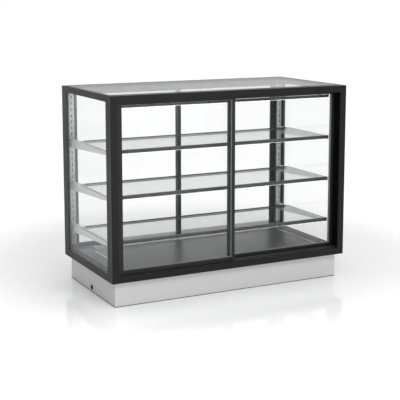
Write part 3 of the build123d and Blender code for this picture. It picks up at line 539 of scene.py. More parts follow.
KNOB_PLASTIC = MouldedPlastic("knob plastic", (0.016, 0.016, 0.017), roughness=0.5)
ROCKER_PLASTIC = MouldedPlastic("rocker plastic", (0.020, 0.020, 0.020), roughness=0.22, relief=0.08)
CAP_PLASTIC = MouldedPlastic("end cap plastic", (0.014, 0.014, 0.015), roughness=0.55)
WHITE_INK = PrintInk("white ink", (0.82, 0.82, 0.80))
DARK_INK = PrintInk("dark ink", (0.03, 0.03, 0.03))
LIGHT = OpalLight("shelf light")


def paint(finish: Finish, *nodes: str) -> None:
    """Give CAD nodes a finish.

    Args:
        finish: The finish.
        nodes: Names of the nodes.
    """
    for name in nodes:
        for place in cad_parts[name].material_slots:
            place.material = finish.material
        log.info("%s: %s", name, finish.name)


# Meshes


def as_object(name: str, mesh: bpy.types.ID) -> Thing:
    """Put a mesh or curve in the scene as an object at the origin.

    Args:
        name: Name of the object.
        mesh: Its mesh or curve.

    Returns:
        The object.
    """
    made = bpy.data.objects.new(name, mesh)
    bpy.context.scene.collection.objects.link(made)
    return made


def circle(radius: float, sides: int) -> list[Flat]:
    """Corners of a regular polygon about the origin."""
    return [(radius * math.cos(step * math.tau / sides), radius * math.sin(step * math.tau / sides))
            for step in range(sides)]


def rounded_outline(half_x: float, half_y: float, corner: float, steps: int = 3) -> list[Flat]:
    """Points of a rectangle with round corners, about the origin.

    Args:
        half_x: Half its length on X.
        half_y: Half its length on Y.
        corner: Radius of its corners.
        steps: Sides of each corner.

    Returns:
        The points.
    """
    points = []
    for turn, (sx, sy) in enumerate(((1, 1), (-1, 1), (-1, -1), (1, -1))):
        for step in range(steps + 1):
            angle = math.pi / 2.0 * (turn + step / steps)
            points.append((sx * (half_x - corner) + corner * math.cos(angle),
                           sy * (half_y - corner) + corner * math.sin(angle)))
    return points


class Shape:
    """A closed mesh in the making. What adds faces gives back the shape."""

    def __init__(self) -> None:
        """Start empty."""
        self.mesh = bmesh.new()

    def loft(self, loops: Sequence[Sequence[Point]], closed: bool = False) -> "Shape":
        """Join loops of points with faces.

        Args:
            loops: Loops with the same number of points each.
            closed: Whether the last loop joins the first one, instead of both being capped.

        Returns:
            The shape.
        """
        rows = [[self.mesh.verts.new(point) for point in loop] for loop in loops]
        for low, high in zip(rows, rows[1:] + (rows[:1] if closed else [])):
            for index in range(len(low)):
                follow = (index + 1) % len(low)
                self.mesh.faces.new((low[index], low[follow], high[follow], high[index]))
        if not closed:
            self.mesh.faces.new(rows[0][::-1])
            self.mesh.faces.new(rows[-1])
        return self

    def run_along(self, axis: Axis, section: Sequence[Flat], start: float, end: float) -> "Shape":
        """Add a straight profile with the same section from start to end of its way along an axis."""
        return self.loft([[(*corner[:axis.value], place, *corner[axis.value:]) for corner in section]
                          for place in (start, end)])

    def pair_along(self, axis: Axis, section: Sequence[Flat], start: float, end: float) -> None:
        """Add a straight profile on the right side of the case, and its mirror image on the left."""
        for side in (-1.0, 1.0):
            self.run_along(axis, [(side * x, other) for x, other in section], start, end)

    def hoop(self, low: Flat, high: Flat, section: Sequence[Flat], upright: bool = False) -> "Shape":
        """Add a closed frame of one section round a rectangle.

        Args:
            low: Lowest corner of the rectangle.
            high: Highest corner.
            section: How far each corner of the section lies outside the rectangle, and its place across it.
            upright: Whether the rectangle stands in X and Z, instead of lying in X and Y.

        Returns:
            The shape.
        """
        loops = []
        for out, across in section:
            ring = ((low[0] - out, low[1] - out), (high[0] + out, low[1] - out),
                    (high[0] + out, high[1] + out), (low[0] - out, high[1] + out))
            loops.append([(a, across, b) if upright else (a, b, across) for a, b in ring])
        return self.loft(loops, closed=True)

    def round_box(self, low: Point, high: Point, edge: float) -> "Shape":
        """Add a box with chamfered edges.

        Args:
            low: Its lowest corner.
            high: Its highest corner.
            edge: Width of the chamfer.

        Returns:
            The shape.
        """
        verts = bmesh.ops.create_cube(self.mesh, size=1.0)["verts"]
        bmesh.ops.scale(self.mesh, vec=Vector(high) - Vector(low), verts=verts)
        bmesh.ops.translate(self.mesh, vec=(Vector(high) + Vector(low)) / 2.0, verts=verts)
        edges = list(dict.fromkeys(side for vert in verts for side in vert.link_edges))
        bmesh.ops.bevel(self.mesh, geom=edges, offset=edge, segments=2, profile=0.5, affect="EDGES")
        return self

    def moved(self, matrix: Matrix) -> "Shape":
        """Turn and move the whole shape."""
        bmesh.ops.transform(self.mesh, matrix=matrix, verts=self.mesh.verts)
        return self

    def piece(self, name: str, finish: Finish | None = None, smooth: bool = False) -> Thing:
        """Make the shape an object at the origin, with its faces pointing outwards.

        Args:
            name: Name of the object.
            finish: Its finish, if it needs one yet.
            smooth: Whether its faces are shaded smooth.

        Returns:
            The object.
        """
        bmesh.ops.remove_doubles(self.mesh, verts=self.mesh.verts, dist=WELD)
        bmesh.ops.recalc_face_normals(self.mesh, faces=self.mesh.faces)
        mesh = bpy.data.meshes.new(name)
        self.mesh.to_mesh(mesh)
        self.mesh.free()
        mesh.polygons.foreach_set("use_smooth", [smooth] * len(mesh.polygons))
        if finish:
            mesh.materials.append(finish.material)
        return as_object(name, mesh)


def drop(*things: Thing) -> None:
    """Take objects out of the scene."""
    for thing in things:
        bpy.data.objects.remove(thing)


def settled(thing: Thing, name: str) -> Thing:
    """Keep the evaluated shape of an object as a plain mesh, and drop the object.

    Args:
        thing: Object with live modifiers, or a text.
        name: Name of the new object.

    Returns:
        The new object.
    """
    bpy.context.view_layer.update()
    seen = thing.evaluated_get(bpy.context.evaluated_depsgraph_get())
    made = as_object(name, bpy.data.meshes.new_from_object(seen))
    drop(thing)
    return made


def carved(body: Thing, tool: Thing) -> Thing:
    """Cut one object out of another and drop both.

    Args:
        body: The piece that is cut.
        tool: The shape of the cut, which doesn't cross itself.

    Returns:
        The cut piece.
    """
    cut = body.modifiers.new("cut", "BOOLEAN")
    cut.object = tool
    cut.solver = "EXACT"
    made = settled(body, body.name + ".carved")
    drop(tool)
    return made


def joined(name: str, finish: Finish, pieces: Sequence[Thing]) -> Thing:
    """Merge pieces into one object with one finish, and drop the old ones.

    Args:
        name: Name of the result.
        finish: Its finish.
        pieces: Objects at the origin.

    Returns:
        The merged object.
    """
    shape = bmesh.new()
    mesh = bpy.data.meshes.new(name)
    for piece in pieces:
        shape.from_mesh(piece.data)
    for face in shape.faces:
        face.material_index = 0
    shape.to_mesh(mesh)
    shape.free()
    mesh.materials.append(finish.material)
    drop(*pieces)
    return as_object(name, mesh)


def fit(piece: Thing, body: str, slot: str, *stands_for: str) -> None:
    """Hang a finished piece on its body.

    Args:
        piece: The piece, in its place.
        body: Body that carries it.
        slot: Not used.
        stands_for: CAD nodes that it replaces.
    """
    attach(piece, body)
    if stands_for:
        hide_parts(*stands_for)
    log.info("%s on %s, %d faces", piece.name, body, len(piece.data.polygons))


# Repeats


class Layout(Graph):
    """A Geometry Nodes tree that repeats one item."""

    def __init__(self, name: str, **inputs: str) -> None:
        """Start a tree with an item, a material and more named inputs.

        Args:
            name: Name of the tree.
            inputs: Kind of each input, by its name with underlines for spaces.
        """
        super().__init__(bpy.data.node_groups.new(name, "GeometryNodeTree"))
        face = self.tree.interface
        face.new_socket("Geometry", in_out="OUTPUT", socket_type="NodeSocketGeometry")
        for key, kind in {"Item": "Object", "Material": "Material", **inputs}.items():
            face.new_socket(key.replace("_", " "), in_out="INPUT", socket_type=f"NodeSocket{kind}")
        self.given = self.node("NodeGroupInput").outputs

    def line(self, count: Socket, step: Feed, start: Feed = None) -> Socket:
        """Row of so many points from a start, a step apart."""
        feeds = {"Count": count, "Start Location": start, "Offset": step}
        return self.node("GeometryNodeMeshLine", feeds, mode="OFFSET").outputs[0]

    def end(self, points: Socket, turn: Socket | None = None) -> Tree:
        """Put the item on the points, make it real and give it its material.

        Args:
            points: Where the items go.
            turn: How each is turned.

        Returns:
            The finished tree.
        """
        item = self.node("GeometryNodeObjectInfo", {"Object": self.given["Item"]},
                         transform_space="ORIGINAL")
        placed = self.node("GeometryNodeInstanceOnPoints",
                           {"Points": points, "Rotation": turn, "Instance": item.outputs["Geometry"]})
        real = self.node("GeometryNodeRealizeInstances", {0: placed.outputs[0]})
        coated = self.node("GeometryNodeSetMaterial",
                           {"Geometry": real.outputs[0], "Material": self.given["Material"]})
        self.node("NodeGroupOutput", {0: coated.outputs[0]})
        return self.tree


@cache
def grid_layout() -> Tree:
    """Build the tree for rows and columns of an item.

    Returns:
        The tree.
    """
    layout = Layout("rows and columns", Start="Vector", Step="Vector", Count="Int", Row_Step="Vector",
                    Rows="Int")
    given = layout.given
    rows = layout.line(given["Rows"], given["Row Step"], given["Start"])
    row = layout.line(given["Count"], given["Step"])
    sown = layout.node("GeometryNodeInstanceOnPoints", {"Points": rows, "Instance": row})
    return layout.end(layout.node("GeometryNodeRealizeInstances", {0: sown.outputs[0]}).outputs[0])


@cache
def ring_layout() -> Tree:
    """Build the tree for items round a circle that faces along Y, each turned with its place.

    Returns:
        The tree.
    """
    layout = Layout("ring", Centre="Vector", Radius="Float", Angle_Step="Float", Count="Int")
    given = layout.given
    line = layout.line(given["Count"], (0.0, 0.0, 0.0))
    angle = layout.value("GeometryNodeInputIndex") * Value(layout, given["Angle Step"])
    radius = Value(layout, given["Radius"])
    offset = layout.node("ShaderNodeCombineXYZ", {"X": layout.math("SINE", angle) * radius,
                                                  "Z": layout.math("COSINE", angle) * radius})
    place = layout.node("ShaderNodeVectorMath", {0: given["Centre"], 1: offset.outputs[0]}, operation="ADD")
    spread = layout.node("GeometryNodeSetPosition", {"Geometry": line, "Position": place.outputs[0]})
    turn = layout.node("FunctionNodeAxisAngleToRotation", {"Axis": (0.0, 1.0, 0.0), "Angle": angle})
    return layout.end(spread.outputs[0], turn.outputs[0])


def repeated(name: str, tree: Tree, item: Thing, finish: Finish, **inputs: object) -> Thing:
    """Run a tree and keep its result as a plain mesh.

    Args:
        name: Name of the new piece.
        tree: The tree of repeats.
        item: What is repeated. It is dropped.
        finish: Finish of the piece.
        inputs: The tree's other inputs, with underlines for spaces.

    Returns:
        The piece.
    """
    holder = as_object(name + ".holder", bpy.data.meshes.new(name + ".holder"))
    modifier = holder.modifiers.new("repeat", "NODES")
    modifier.node_group = tree
    wanted = {"Item": item, "Material": finish.material, **inputs}
    for socket in tree.interface.items_tree:
        if socket.in_out == "INPUT":
            modifier[socket.identifier] = wanted[socket.name.replace(" ", "_")]
    piece = settled(holder, name)
    drop(item)
    return piece


@dataclass(frozen=True)
class SlotRims:
    """Pressed rims round a pattern of slots, with the shares of their band and rise that shape them."""

    width: float
    length: float
    band: float
    rise: float
    corner: float
    profile: tuple[Flat, ...] = ((0.0, 0.0), (-0.15, 0.6), (0.3, 1.0), (0.75, 0.7), (1.0, 0.0))

    def grid(self, name: str, finish: Finish, slot: str, upright: bool = False, **places: object) -> None:
        """Put rounded rims with a low crown round rows and columns of slots.

        Args:
            name: Name of the piece.
            finish: Its finish.
            slot: Material slot of the record.
            upright: Whether the slots are in an upright sheet across Y, instead of a flat one.
            places: Inputs of the tree of rows and columns.
        """
        loops = []
        for share, height in self.profile:
            out, up = share * self.band, height * self.rise
            ring = rounded_outline(self.width / 2.0 + out, self.length / 2.0 + out,
                                   self.corner + max(out, -self.corner / 2.0))
            loops.append([(x, -up, y) if upright else (x, y, up) for x, y in ring])
        item = Shape().loft(loops, closed=True).piece(f"{name}.item", smooth=True)
        fit(repeated(name, grid_layout(), item, finish, **places), "case", slot)


# Sub-assemblies


@dataclass
class Cabinet:
    """Posts, rails, fixed glass and seals; the jamb seals are near-black as painted shade in the post reveals.
    """

    seal_clear: float = 0.8 * MM
    seal_web: float = 0.15 * MM
    seal_rise: float = 0.35 * MM
    rib_pitch: float = 3.0 * MM
    bead_width: float = 24.0 * MM
    bead_sink: float = 0.2 * MM
    bead_chamfer: float = 1.0 * MM

    def dress(self) -> None:
        """Give the frame, the panes and the seals their finishes."""
        paint(FRAME_PAINT, "upper_side_rails", "lower_side_rails",
              *[f"{end}_{member}" for end in ("front", "rear")
                for member in ("left_post", "right_post", "head_rail", "sill_rail")])
        paint(PANE_X, "left_glass", "right_glass")
        paint(PANE_TOP, "top_glass")
        paint(SEAL, "glazing_gaskets")
        paint(TRACK_METAL, "lower_tracks")

    def build(self) -> None:
        """Bead the side panes and line the posts with seals, near-black as painted shade."""
        self.pane_beads()
        self.jamb_seals()

    @staticmethod
    def post_edge() -> float:
        """Find the rear edge of a front post's outer side.

        Returns:
            Its place on Y.
        """
        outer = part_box("front_left_post")[0].x
        corners = [vert.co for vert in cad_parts["front_left_post"].data.vertices]
        return max(corner.y for corner in corners if abs(corner.x - outer) < TOUCH)

    def pane_beads(self) -> None:
        """Hold the front edge of each side pane with a flat bead that lies flush with the frame."""
        start = self.post_edge()
        end = start + self.bead_width
        foot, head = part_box("lower_side_rails")[1].z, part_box("upper_side_rails")[0].z
        face, crown = abs(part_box("left_glass")[0].x), abs(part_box("lower_side_rails")[0].x) - self.bead_sink
        bevel = self.bead_chamfer
        shape = Shape()
        shape.pair_along(Axis.Z, [(face, start), (crown, start), (crown, end - bevel), (crown - bevel, end),
                                  (face, end)], foot, head)
        fit(shape.piece("side_glazing_beads", FRAME_PAINT), "case", "frame_paint")

    def ribbed(self, seat: float, start: float, end: float) -> list[Flat]:
        """Section of a ribbed seal on the inner side of a right post.

        Args:
            seat: Place of the post's inner side on X.
            start: Place of its first edge on Y.
            end: Place of its last edge.

        Returns:
            The corners on X and Y.
        """
        count = int((end - start) / self.rib_pitch)
        pitch = (end - start) / count
        web, crown = seat - self.seal_web, seat - self.seal_rise
        section = [(seat, start)]
        for rib in range(count):
            foot = start + rib * pitch
            section += [(web, foot), (crown, foot + pitch * 0.35), (crown, foot + pitch * 0.65)]
        return section + [(web, end), (seat, end)]

    def jamb_seals(self) -> None:
        """Line the inner sides of the posts with ribbed seals, whose near-black colour is painted shade in the
        reveals.
        """
        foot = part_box("lower_tracks")[1].z + self.seal_clear
        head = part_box("front_head_rail")[0].z - self.seal_clear
        front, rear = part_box("front_left_post"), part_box("rear_left_post")
        shape = Shape()
        for start, end in ((front[0].y + self.seal_clear, front[1].y - self.seal_clear),
                           (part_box("rear_left_door_frame")[0].y, rear[1].y - self.seal_clear)):
            shape.pair_along(Axis.Z, self.ribbed(abs(front[1].x), start, end), foot, head)
        fit(shape.piece("jamb_seals", PILE_PAINTED_SHADE), "case", "gasket_rubber")


@dataclass
class SlidingDoors:
    """Front and rear pairs of doors with their glass, glides and glazing beads."""

    bead_width: float = 1.8 * MM
    bead_crown: float = 0.63 * MM
    bead_clear: float = 1.4 * MM
    outer_margin: float = 0.1 * MM
    names: tuple[str, ...] = ("front_left_door", "front_right_door", "rear_left_door", "rear_right_door")

    def dress(self) -> None:
        """Give the door frames, panes and glides their finishes."""
        for name in self.names:
            paint(DOOR_PAINT_LIFTED, f"{name}_frame")
            paint(PANE_Y, f"{name}_glass")
            paint(NYLON, f"{name}_glides")

    def window(self, name: str) -> tuple[Vector, Vector]:
        """Lowest and highest corner of the opening in a door's frame.

        Args:
            name: The door.

        Returns:
            The two corners.
        """
        low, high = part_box(f"{name}_frame")
        corners = [vert.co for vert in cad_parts[f"{name}_frame"].data.vertices]
        first, last = Vector(low), Vector(high)
        for axis in (Axis.X.value, Axis.Z.value):
            middle = (low[axis] + high[axis]) / 2.0
            places = {round(corner[axis], 6) for corner in corners if abs(corner.y - low.y) < TOUCH}
            first[axis] = max(place for place in places if low[axis] + self.outer_margin < place < middle)
            last[axis] = min(place for place in places if middle < place < high[axis] - self.outer_margin)
        return first, last

    def build(self) -> None:
        """Seal each pane to its frame with a wedge bead on both faces."""
        for name in self.names:
            low, high = self.window(name)
            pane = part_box(f"{name}_glass")
            shape = Shape()
            for face, outer in ((pane[0].y, low.y + self.bead_clear), (pane[1].y, high.y - self.bead_clear)):
                shape.hoop((low.x, low.z), (high.x, high.z), upright=True, section=(
                    (0.0, face), (0.0, outer), (-self.bead_crown, outer), (-self.bead_width, face)))
            fit(shape.piece(f"{name}_glazing_beads", DOOR_SEAL), name, "gasket_rubber")


@dataclass
class ShelfSystem:
    """Slotted standards, brackets, shelves, rails and lights."""

    levels: tuple[str, ...] = ("upper", "middle", "lower")
    slot_rims: SlotRims = SlotRims(width=3.6 * MM, length=14.0 * MM, band=1.3 * MM, rise=0.35 * MM,
                                   corner=1.2 * MM)
    slot_pitch: float = 29.0 * MM
    slot_first: float = 203.0 * MM
    slot_count: int = 24
    cap_length: float = 4.0 * MM
    cap_proud: float = 0.3 * MM
    cap_edge: float = 0.4 * MM
    channel_wall: float = 0.9 * MM
    lens_drop: float = 0.6 * MM
    lens_corner: float = 0.4 * MM
    seal_reach: float = 16.0 * MM
    seal_rise: float = 0.9 * MM
    seal_slope: float = 0.5 * MM
    seal_back: float = 0.6 * MM
    seal_foot: float = 4.0 * MM
    bar_height: float = 12.5 * MM
    bar_front: float = 10.6 * MM
    bar_crown: float = 11.5 * MM
    bar_slope: float = 1.2 * MM
    bar_back: float = 6.0 * MM
    bar_wall: float = 1.5 * MM
    bar_lip: float = 0.3 * MM
    bar_margin: float = 0.1 * MM

    def dress(self) -> None:
        """Give the shelves, brackets, rails and lights their finishes."""
        paint(STANDARD_STEEL, "left_standard", "right_standard")
        paint(BRACKET_STEEL, *[f"{level}_shelf_brackets" for level in self.levels])
        paint(PANE_SHELF, *[f"{level}_shelf_glass" for level in self.levels])
        paint(RAIL_PAINT, "shelf_front_rails", "shelf_rear_rails", "top_light_rail")

    def build(self) -> None:
        """Add the fine pieces."""
        self.standard_rims()
        self.lights()
        self.top_light()
        self.rear_seals()

    def standard_rims(self) -> None:
        """Put a pressed rim round each slot of the standards, dark as painted shade round the slots."""
        low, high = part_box("left_standard")
        middle = (low.x + high.x) / 2.0
        self.slot_rims.grid("standard_slot_rims", STANDARD_SLOT_SHADE, "standard_steel", upright=True,
                            Start=(middle, low.y, self.slot_first + self.slot_rims.length / 2.0),
                            Step=(0.0, 0.0, self.slot_pitch), Count=self.slot_count,
                            Row_Step=(-2.0 * middle, 0.0, 0.0), Rows=2)

    def lights(self) -> None:
        """Build each light as a dark channel with an opal lens and a moulded cap on both ends."""
        low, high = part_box("light_strips")
        heights = sorted({round(vert.co.z, 5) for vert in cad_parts["light_strips"].data.vertices})
        wall, corner = self.channel_wall, self.lens_corner
        front, back = low.y + wall, high.y - wall
        channels, lenses, caps = Shape(), Shape(), Shape()
        for z0, z1 in zip(heights[::2], heights[1::2]):
            foot, web = z0 + self.lens_drop, z1 - wall
            channels.run_along(Axis.X, ((low.y, z1), (low.y, foot), (front, foot), (front, web), (back, web),
                                        (back, foot), (high.y, foot), (high.y, z1)), low.x, high.x)
            lenses.run_along(Axis.X, ((front, web), (front, z0 + corner), (front + corner, z0),
                                      (back - corner, z0), (back, z0 + corner), (back, web)), low.x, high.x)
            for x0, x1 in ((low.x - self.cap_length, low.x), (high.x, high.x + self.cap_length)):
                caps.round_box((x0, low.y - self.cap_proud, z0), (x1, high.y + self.cap_proud, z1),
                               self.cap_edge)
        fit(channels.piece("light_channels", CHANNEL_METAL), "case", "rail_paint")
        fit(lenses.piece("light_lenses", LIGHT), "case", "light_lens", "light_strips")
        fit(caps.piece("light_end_caps", CAP_PLASTIC), "case", "rail_paint")

    def rear_seals(self) -> None:
        """Cap the rear edge of each pane and its rail with a black seal."""
        low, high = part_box("shelf_rear_rails")
        front, back = high.y - self.seal_reach, high.y + self.seal_back
        shape = Shape()
        for level in self.levels:
            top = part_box(f"{level}_shelf_glass")[1].z
            foot, crown = top - self.seal_foot, top + self.seal_rise
            shape.run_along(Axis.X, ((front, top), (front + self.seal_slope, crown), (back, crown),
                                     (back, foot), (high.y, foot), (high.y, top)), low.x, high.x)
        fit(shape.piece("shelf_rear_seals", SHELF_SEAL), "case", "gasket_rubber")

    def top_light(self) -> None:
        """Build the carrier of the top light as an open channel that hangs on an arm at both ends."""
        low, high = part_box("top_light_rail")
        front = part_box("shelf_front_rails")[0].y
        bend = low.z + self.bar_height
        corners = [vert.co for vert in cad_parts["top_light_rail"].data.vertices]
        upper = [corner for corner in corners if corner.z > bend + self.bar_margin]
        ends = sorted({round(abs(point.x), 5) for point in upper})
        elbow, foot_y = min(point.z for point in upper), max(point.y for point in upper)
        wall, floor = front + self.bar_wall, low.z + self.bar_wall
        inner, back = high.y - self.bar_wall, low.z + self.bar_back
        lip, crown = front + self.bar_slope, low.z + self.bar_crown
        shape = Shape()
        shape.run_along(Axis.X, ((front, low.z), (high.y, low.z), (high.y, back), (inner, back),
                                 (inner, floor), (wall, floor), (wall, low.z + self.bar_front),
                                 (lip + self.bar_wall, crown - self.bar_lip), (lip, crown),
                                 (front, low.z + self.bar_front)), low.x, high.x)
        arm = ((inner, floor), (inner, bend), (foot_y, high.z), (low.y, high.z), (low.y, elbow),
               (wall, bend), (wall, floor))
        for side in (-1.0, 1.0):
            shape.run_along(Axis.X, arm, side * ends[0], side * ends[-1])
        fit(shape.piece("top_light_channel", RAIL_PAINT), "case", "rail_paint", "top_light_rail")


@dataclass
class Deck:
    """Raised floor with its vent grilles."""

    side_rims: SlotRims = SlotRims(width=44.0 * MM, length=7.0 * MM, band=1.8 * MM, rise=1.2 * MM,
                                   corner=3.0 * MM)
    rear_rims: SlotRims = SlotRims(width=148.333 * MM, length=10.0 * MM, band=1.2 * MM, rise=0.7 * MM,
                                   corner=4.0 * MM)
    side_half_width: float = 31.0 * MM
    side_pitch: float = 14.0 * MM
    side_count: int = 24
    rear_columns: int = 6
    rear_rows: int = 4
    rear_bridge: float = 14.0 * MM
    rear_row_pitch: float = 20.0 * MM
    lip_width: float = 3.6 * MM
    lip_rise: float = 1.4 * MM
    lip_profile: tuple[Flat, ...] = ((0.0, 0.0), (0.15, 0.75), (0.5, 1.0), (0.85, 0.75), (1.0, 0.0))

    def dress(self) -> None:
        """Give the deck and its grilles their finishes."""
        paint(DECK_PAINT, "deck_panel")
        paint(GRILLE_PAINT, "side_vent_grilles", "rear_vent_grille")

    def build(self) -> None:
        """Put a rolled rim round each slot, and a lip along the side grilles, near-white as painted highlight.
        """
        self.side_slot_rims()
        self.rear_slot_rims()
        self.lips()

    def side_slot_rims(self) -> None:
        """Rim the slots of the two side grilles."""
        low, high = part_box("side_vent_grilles")
        across = high.x - self.side_half_width
        start = (low.y + high.y) / 2.0 - (self.side_count - 1) * self.side_pitch / 2.0
        self.side_rims.grid("side_slot_rims", SIDE_RIM, "grille_paint", Start=(-across, start, high.z),
                            Step=(0.0, self.side_pitch, 0.0), Count=self.side_count,
                            Row_Step=(2.0 * across, 0.0, 0.0), Rows=2)

    def rear_slot_rims(self) -> None:
        """Rim the slots of the rear vent."""
        low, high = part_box("rear_vent_grille")
        step = self.rear_rims.width + self.rear_bridge
        start = (-(self.rear_columns - 1) * step / 2.0,
                 (low.y + high.y) / 2.0 - (self.rear_rows - 1) * self.rear_row_pitch / 2.0, high.z)
        self.rear_rims.grid("rear_slot_rims", RIM_METAL, "grille_paint", Start=start, Step=(step, 0.0, 0.0),
                            Count=self.rear_columns, Row_Step=(0.0, self.rear_row_pitch, 0.0),
                            Rows=self.rear_rows)

    def lips(self) -> None:
        """Fold a lip along the inner edge of each side grille, its near-white colour a painted highlight."""
        low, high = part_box("side_vent_grilles")
        inner = high.x - 2.0 * self.side_half_width
        shape = Shape()
        shape.pair_along(Axis.Y, [(inner + share * self.lip_width, high.z + rise * self.lip_rise)
                                  for share, rise in self.lip_profile], low.y, high.y)
        fit(shape.piece("side_grille_lips", LIP_HIGHLIGHT_METAL), "case", "grille_paint")


@dataclass
class DropInBase:
    """Steel base with its floor, insulation, tray, cable grommet and bead of sealant, whose dark grey is
    partly painted contact shadow.
    """

    bead_width: float = 1.2 * MM
    bead_height: float = 2.6 * MM
    hollow_width: float = 0.54 * MM
    hollow_height: float = 1.04 * MM

    def dress(self) -> None:
        """Give the base its finishes."""
        paint(BASE_STEEL, "base_shell", "base_floor")
        paint(TRAY_SHEET, "inner_tray")
        paint(WOOL, "floor_insulation")
        paint(GROMMET, "cable_grommet")

    def build(self) -> None:
        """Run a bead of sealant, a little hollow, round the foot of the base; its dark grey is partly painted
        contact shadow.
        """
        low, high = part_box("base_shell")
        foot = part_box("base_floor")[0].z
        bead = Shape().hoop((low.x, low.y), (high.x, high.y), (
            (0.0, foot), (self.bead_width, foot), (self.hollow_width, foot + self.hollow_height),
            (0.0, foot + self.bead_height)))
        fit(bead.piece("foot_sealant_bead", SEALANT_AND_SHADOW), "case", "gasket_rubber")


@dataclass
class HotAirSet:
    """Fans, heating elements, driver and terminals inside the base."""

    def dress(self) -> None:
        """Give the parts inside the base their finishes."""
        paint(FAN_PLASTIC, "fan_housings", "left_fan_rotor", "right_fan_rotor")
        paint(TUBE, "heating_elements")
        paint(DRIVER_CASE, "light_driver")
        paint(TERMINAL, "terminal_block")


@dataclass
class Screws:
    """Pan-head screws with a cross recess and a thread."""

    head_radius: float = 3.4 * MM
    head_height: float = 2.0 * MM
    shank_radius: float = 1.5 * MM
    point_length: float = 0.5 * MM
    thread_depth: float = 0.22 * MM
    thread_pitch: float = 0.9 * MM
    recess_length: float = 3.4 * MM
    recess_width: float = 0.8 * MM
    recess_depth: float = 1.1 * MM
    sides: int = 12
    tip_radius: float = 0.45 * MM
    head_profile: tuple[Flat, ...] = ((1.0, 0.0), (1.0, 0.35), (0.9, 0.7), (0.65, 0.92), (0.3, 1.0))
    panel_length: float = 8.0 * MM
    panel_inset: float = 4.5 * MM
    standard_length: float = 19.0 * MM
    apart: float = 8.0 * MM

    def item(self, name: str, length: float, facing: Facing) -> Thing:
        """One screw with its seat at the origin.

        Args:
            name: Name of the object.
            length: Length of the shank.
            facing: Way that the head looks.

        Returns:
            The screw.
        """
        core, pitch = self.shank_radius - self.thread_depth, self.thread_pitch
        profile = [(self.tip_radius, -length), (core, self.point_length - length)]
        for turn in range(int(length / pitch) - 1):
            foot = self.point_length - length + turn * pitch
            profile += [(self.shank_radius, foot + pitch / 2.0), (core, foot + pitch)]
        profile.append((self.shank_radius, 0.0))
        profile += [(self.head_radius * out, self.head_height * up) for out, up in self.head_profile]
        made = Shape().loft([[(x, y, height) for x, y in circle(radius, self.sides)]
                             for radius, height in profile]).piece(name)
        long, short = self.recess_length / 2.0, self.recess_width / 2.0
        for x, y in ((long, short), (short, long)):
            bar = Shape().run_along(Axis.Z, ((-x, -y), (x, -y), (x, y), (-x, y)),
                                    self.head_height - self.recess_depth, self.head_height + MM)
            made = carved(made, bar.piece(name + ".bar"))
        made.data.transform(Matrix.Rotation(math.radians(90.0 * -facing.value), 4, "X"))
        return made

    def build(self) -> None:
        """Replace the plain screws with detailed ones."""
        low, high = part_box("control_panel")
        inset = self.panel_inset
        panel = repeated("panel_screw_set", grid_layout(),
                         self.item("panel_screw.item", self.panel_length, Facing.REAR), SCREW_STEEL,
                         Start=(low.x + inset, high.y, low.z + inset), Count=2, Rows=2,
                         Step=(high.x - low.x - 2.0 * inset, 0.0, 0.0),
                         Row_Step=(0.0, 0.0, high.z - low.z - 2.0 * inset))
        heights = self.standard_heights()
        low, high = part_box("left_standard")
        middle = (low.x + high.x) / 2.0
        standard = repeated("standard_screw_set", grid_layout(),
                            self.item("standard_screw.item", self.standard_length, Facing.FRONT),
                            SCREW_STEEL, Start=(middle, low.y, heights[0]),
                            Step=(0.0, 0.0, heights[1] - heights[0]), Count=len(heights),
                            Row_Step=(-2.0 * middle, 0.0, 0.0), Rows=2)
        fit(joined("cross_screws", SCREW_STEEL, [panel, standard]), "case", "screw_steel", "screws")

    def standard_heights(self) -> list[float]:
        """Find the heights of the screws in a standard from the plain ones.

        Returns:
            The heights, from the lowest.
        """
        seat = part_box("left_standard")[0].y
        left = [vert.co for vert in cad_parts["screws"].data.vertices if vert.co.x < 0.0]
        groups: list[list[float]] = []
        for height in sorted(corner.z for corner in left if corner.y < seat + self.standard_length + MM):
            if groups and height - groups[-1][0] < self.apart:
                groups[-1].append(height)
            else:
                groups.append([height])
        return [(group[0] + group[-1]) / 2.0 for group in groups]


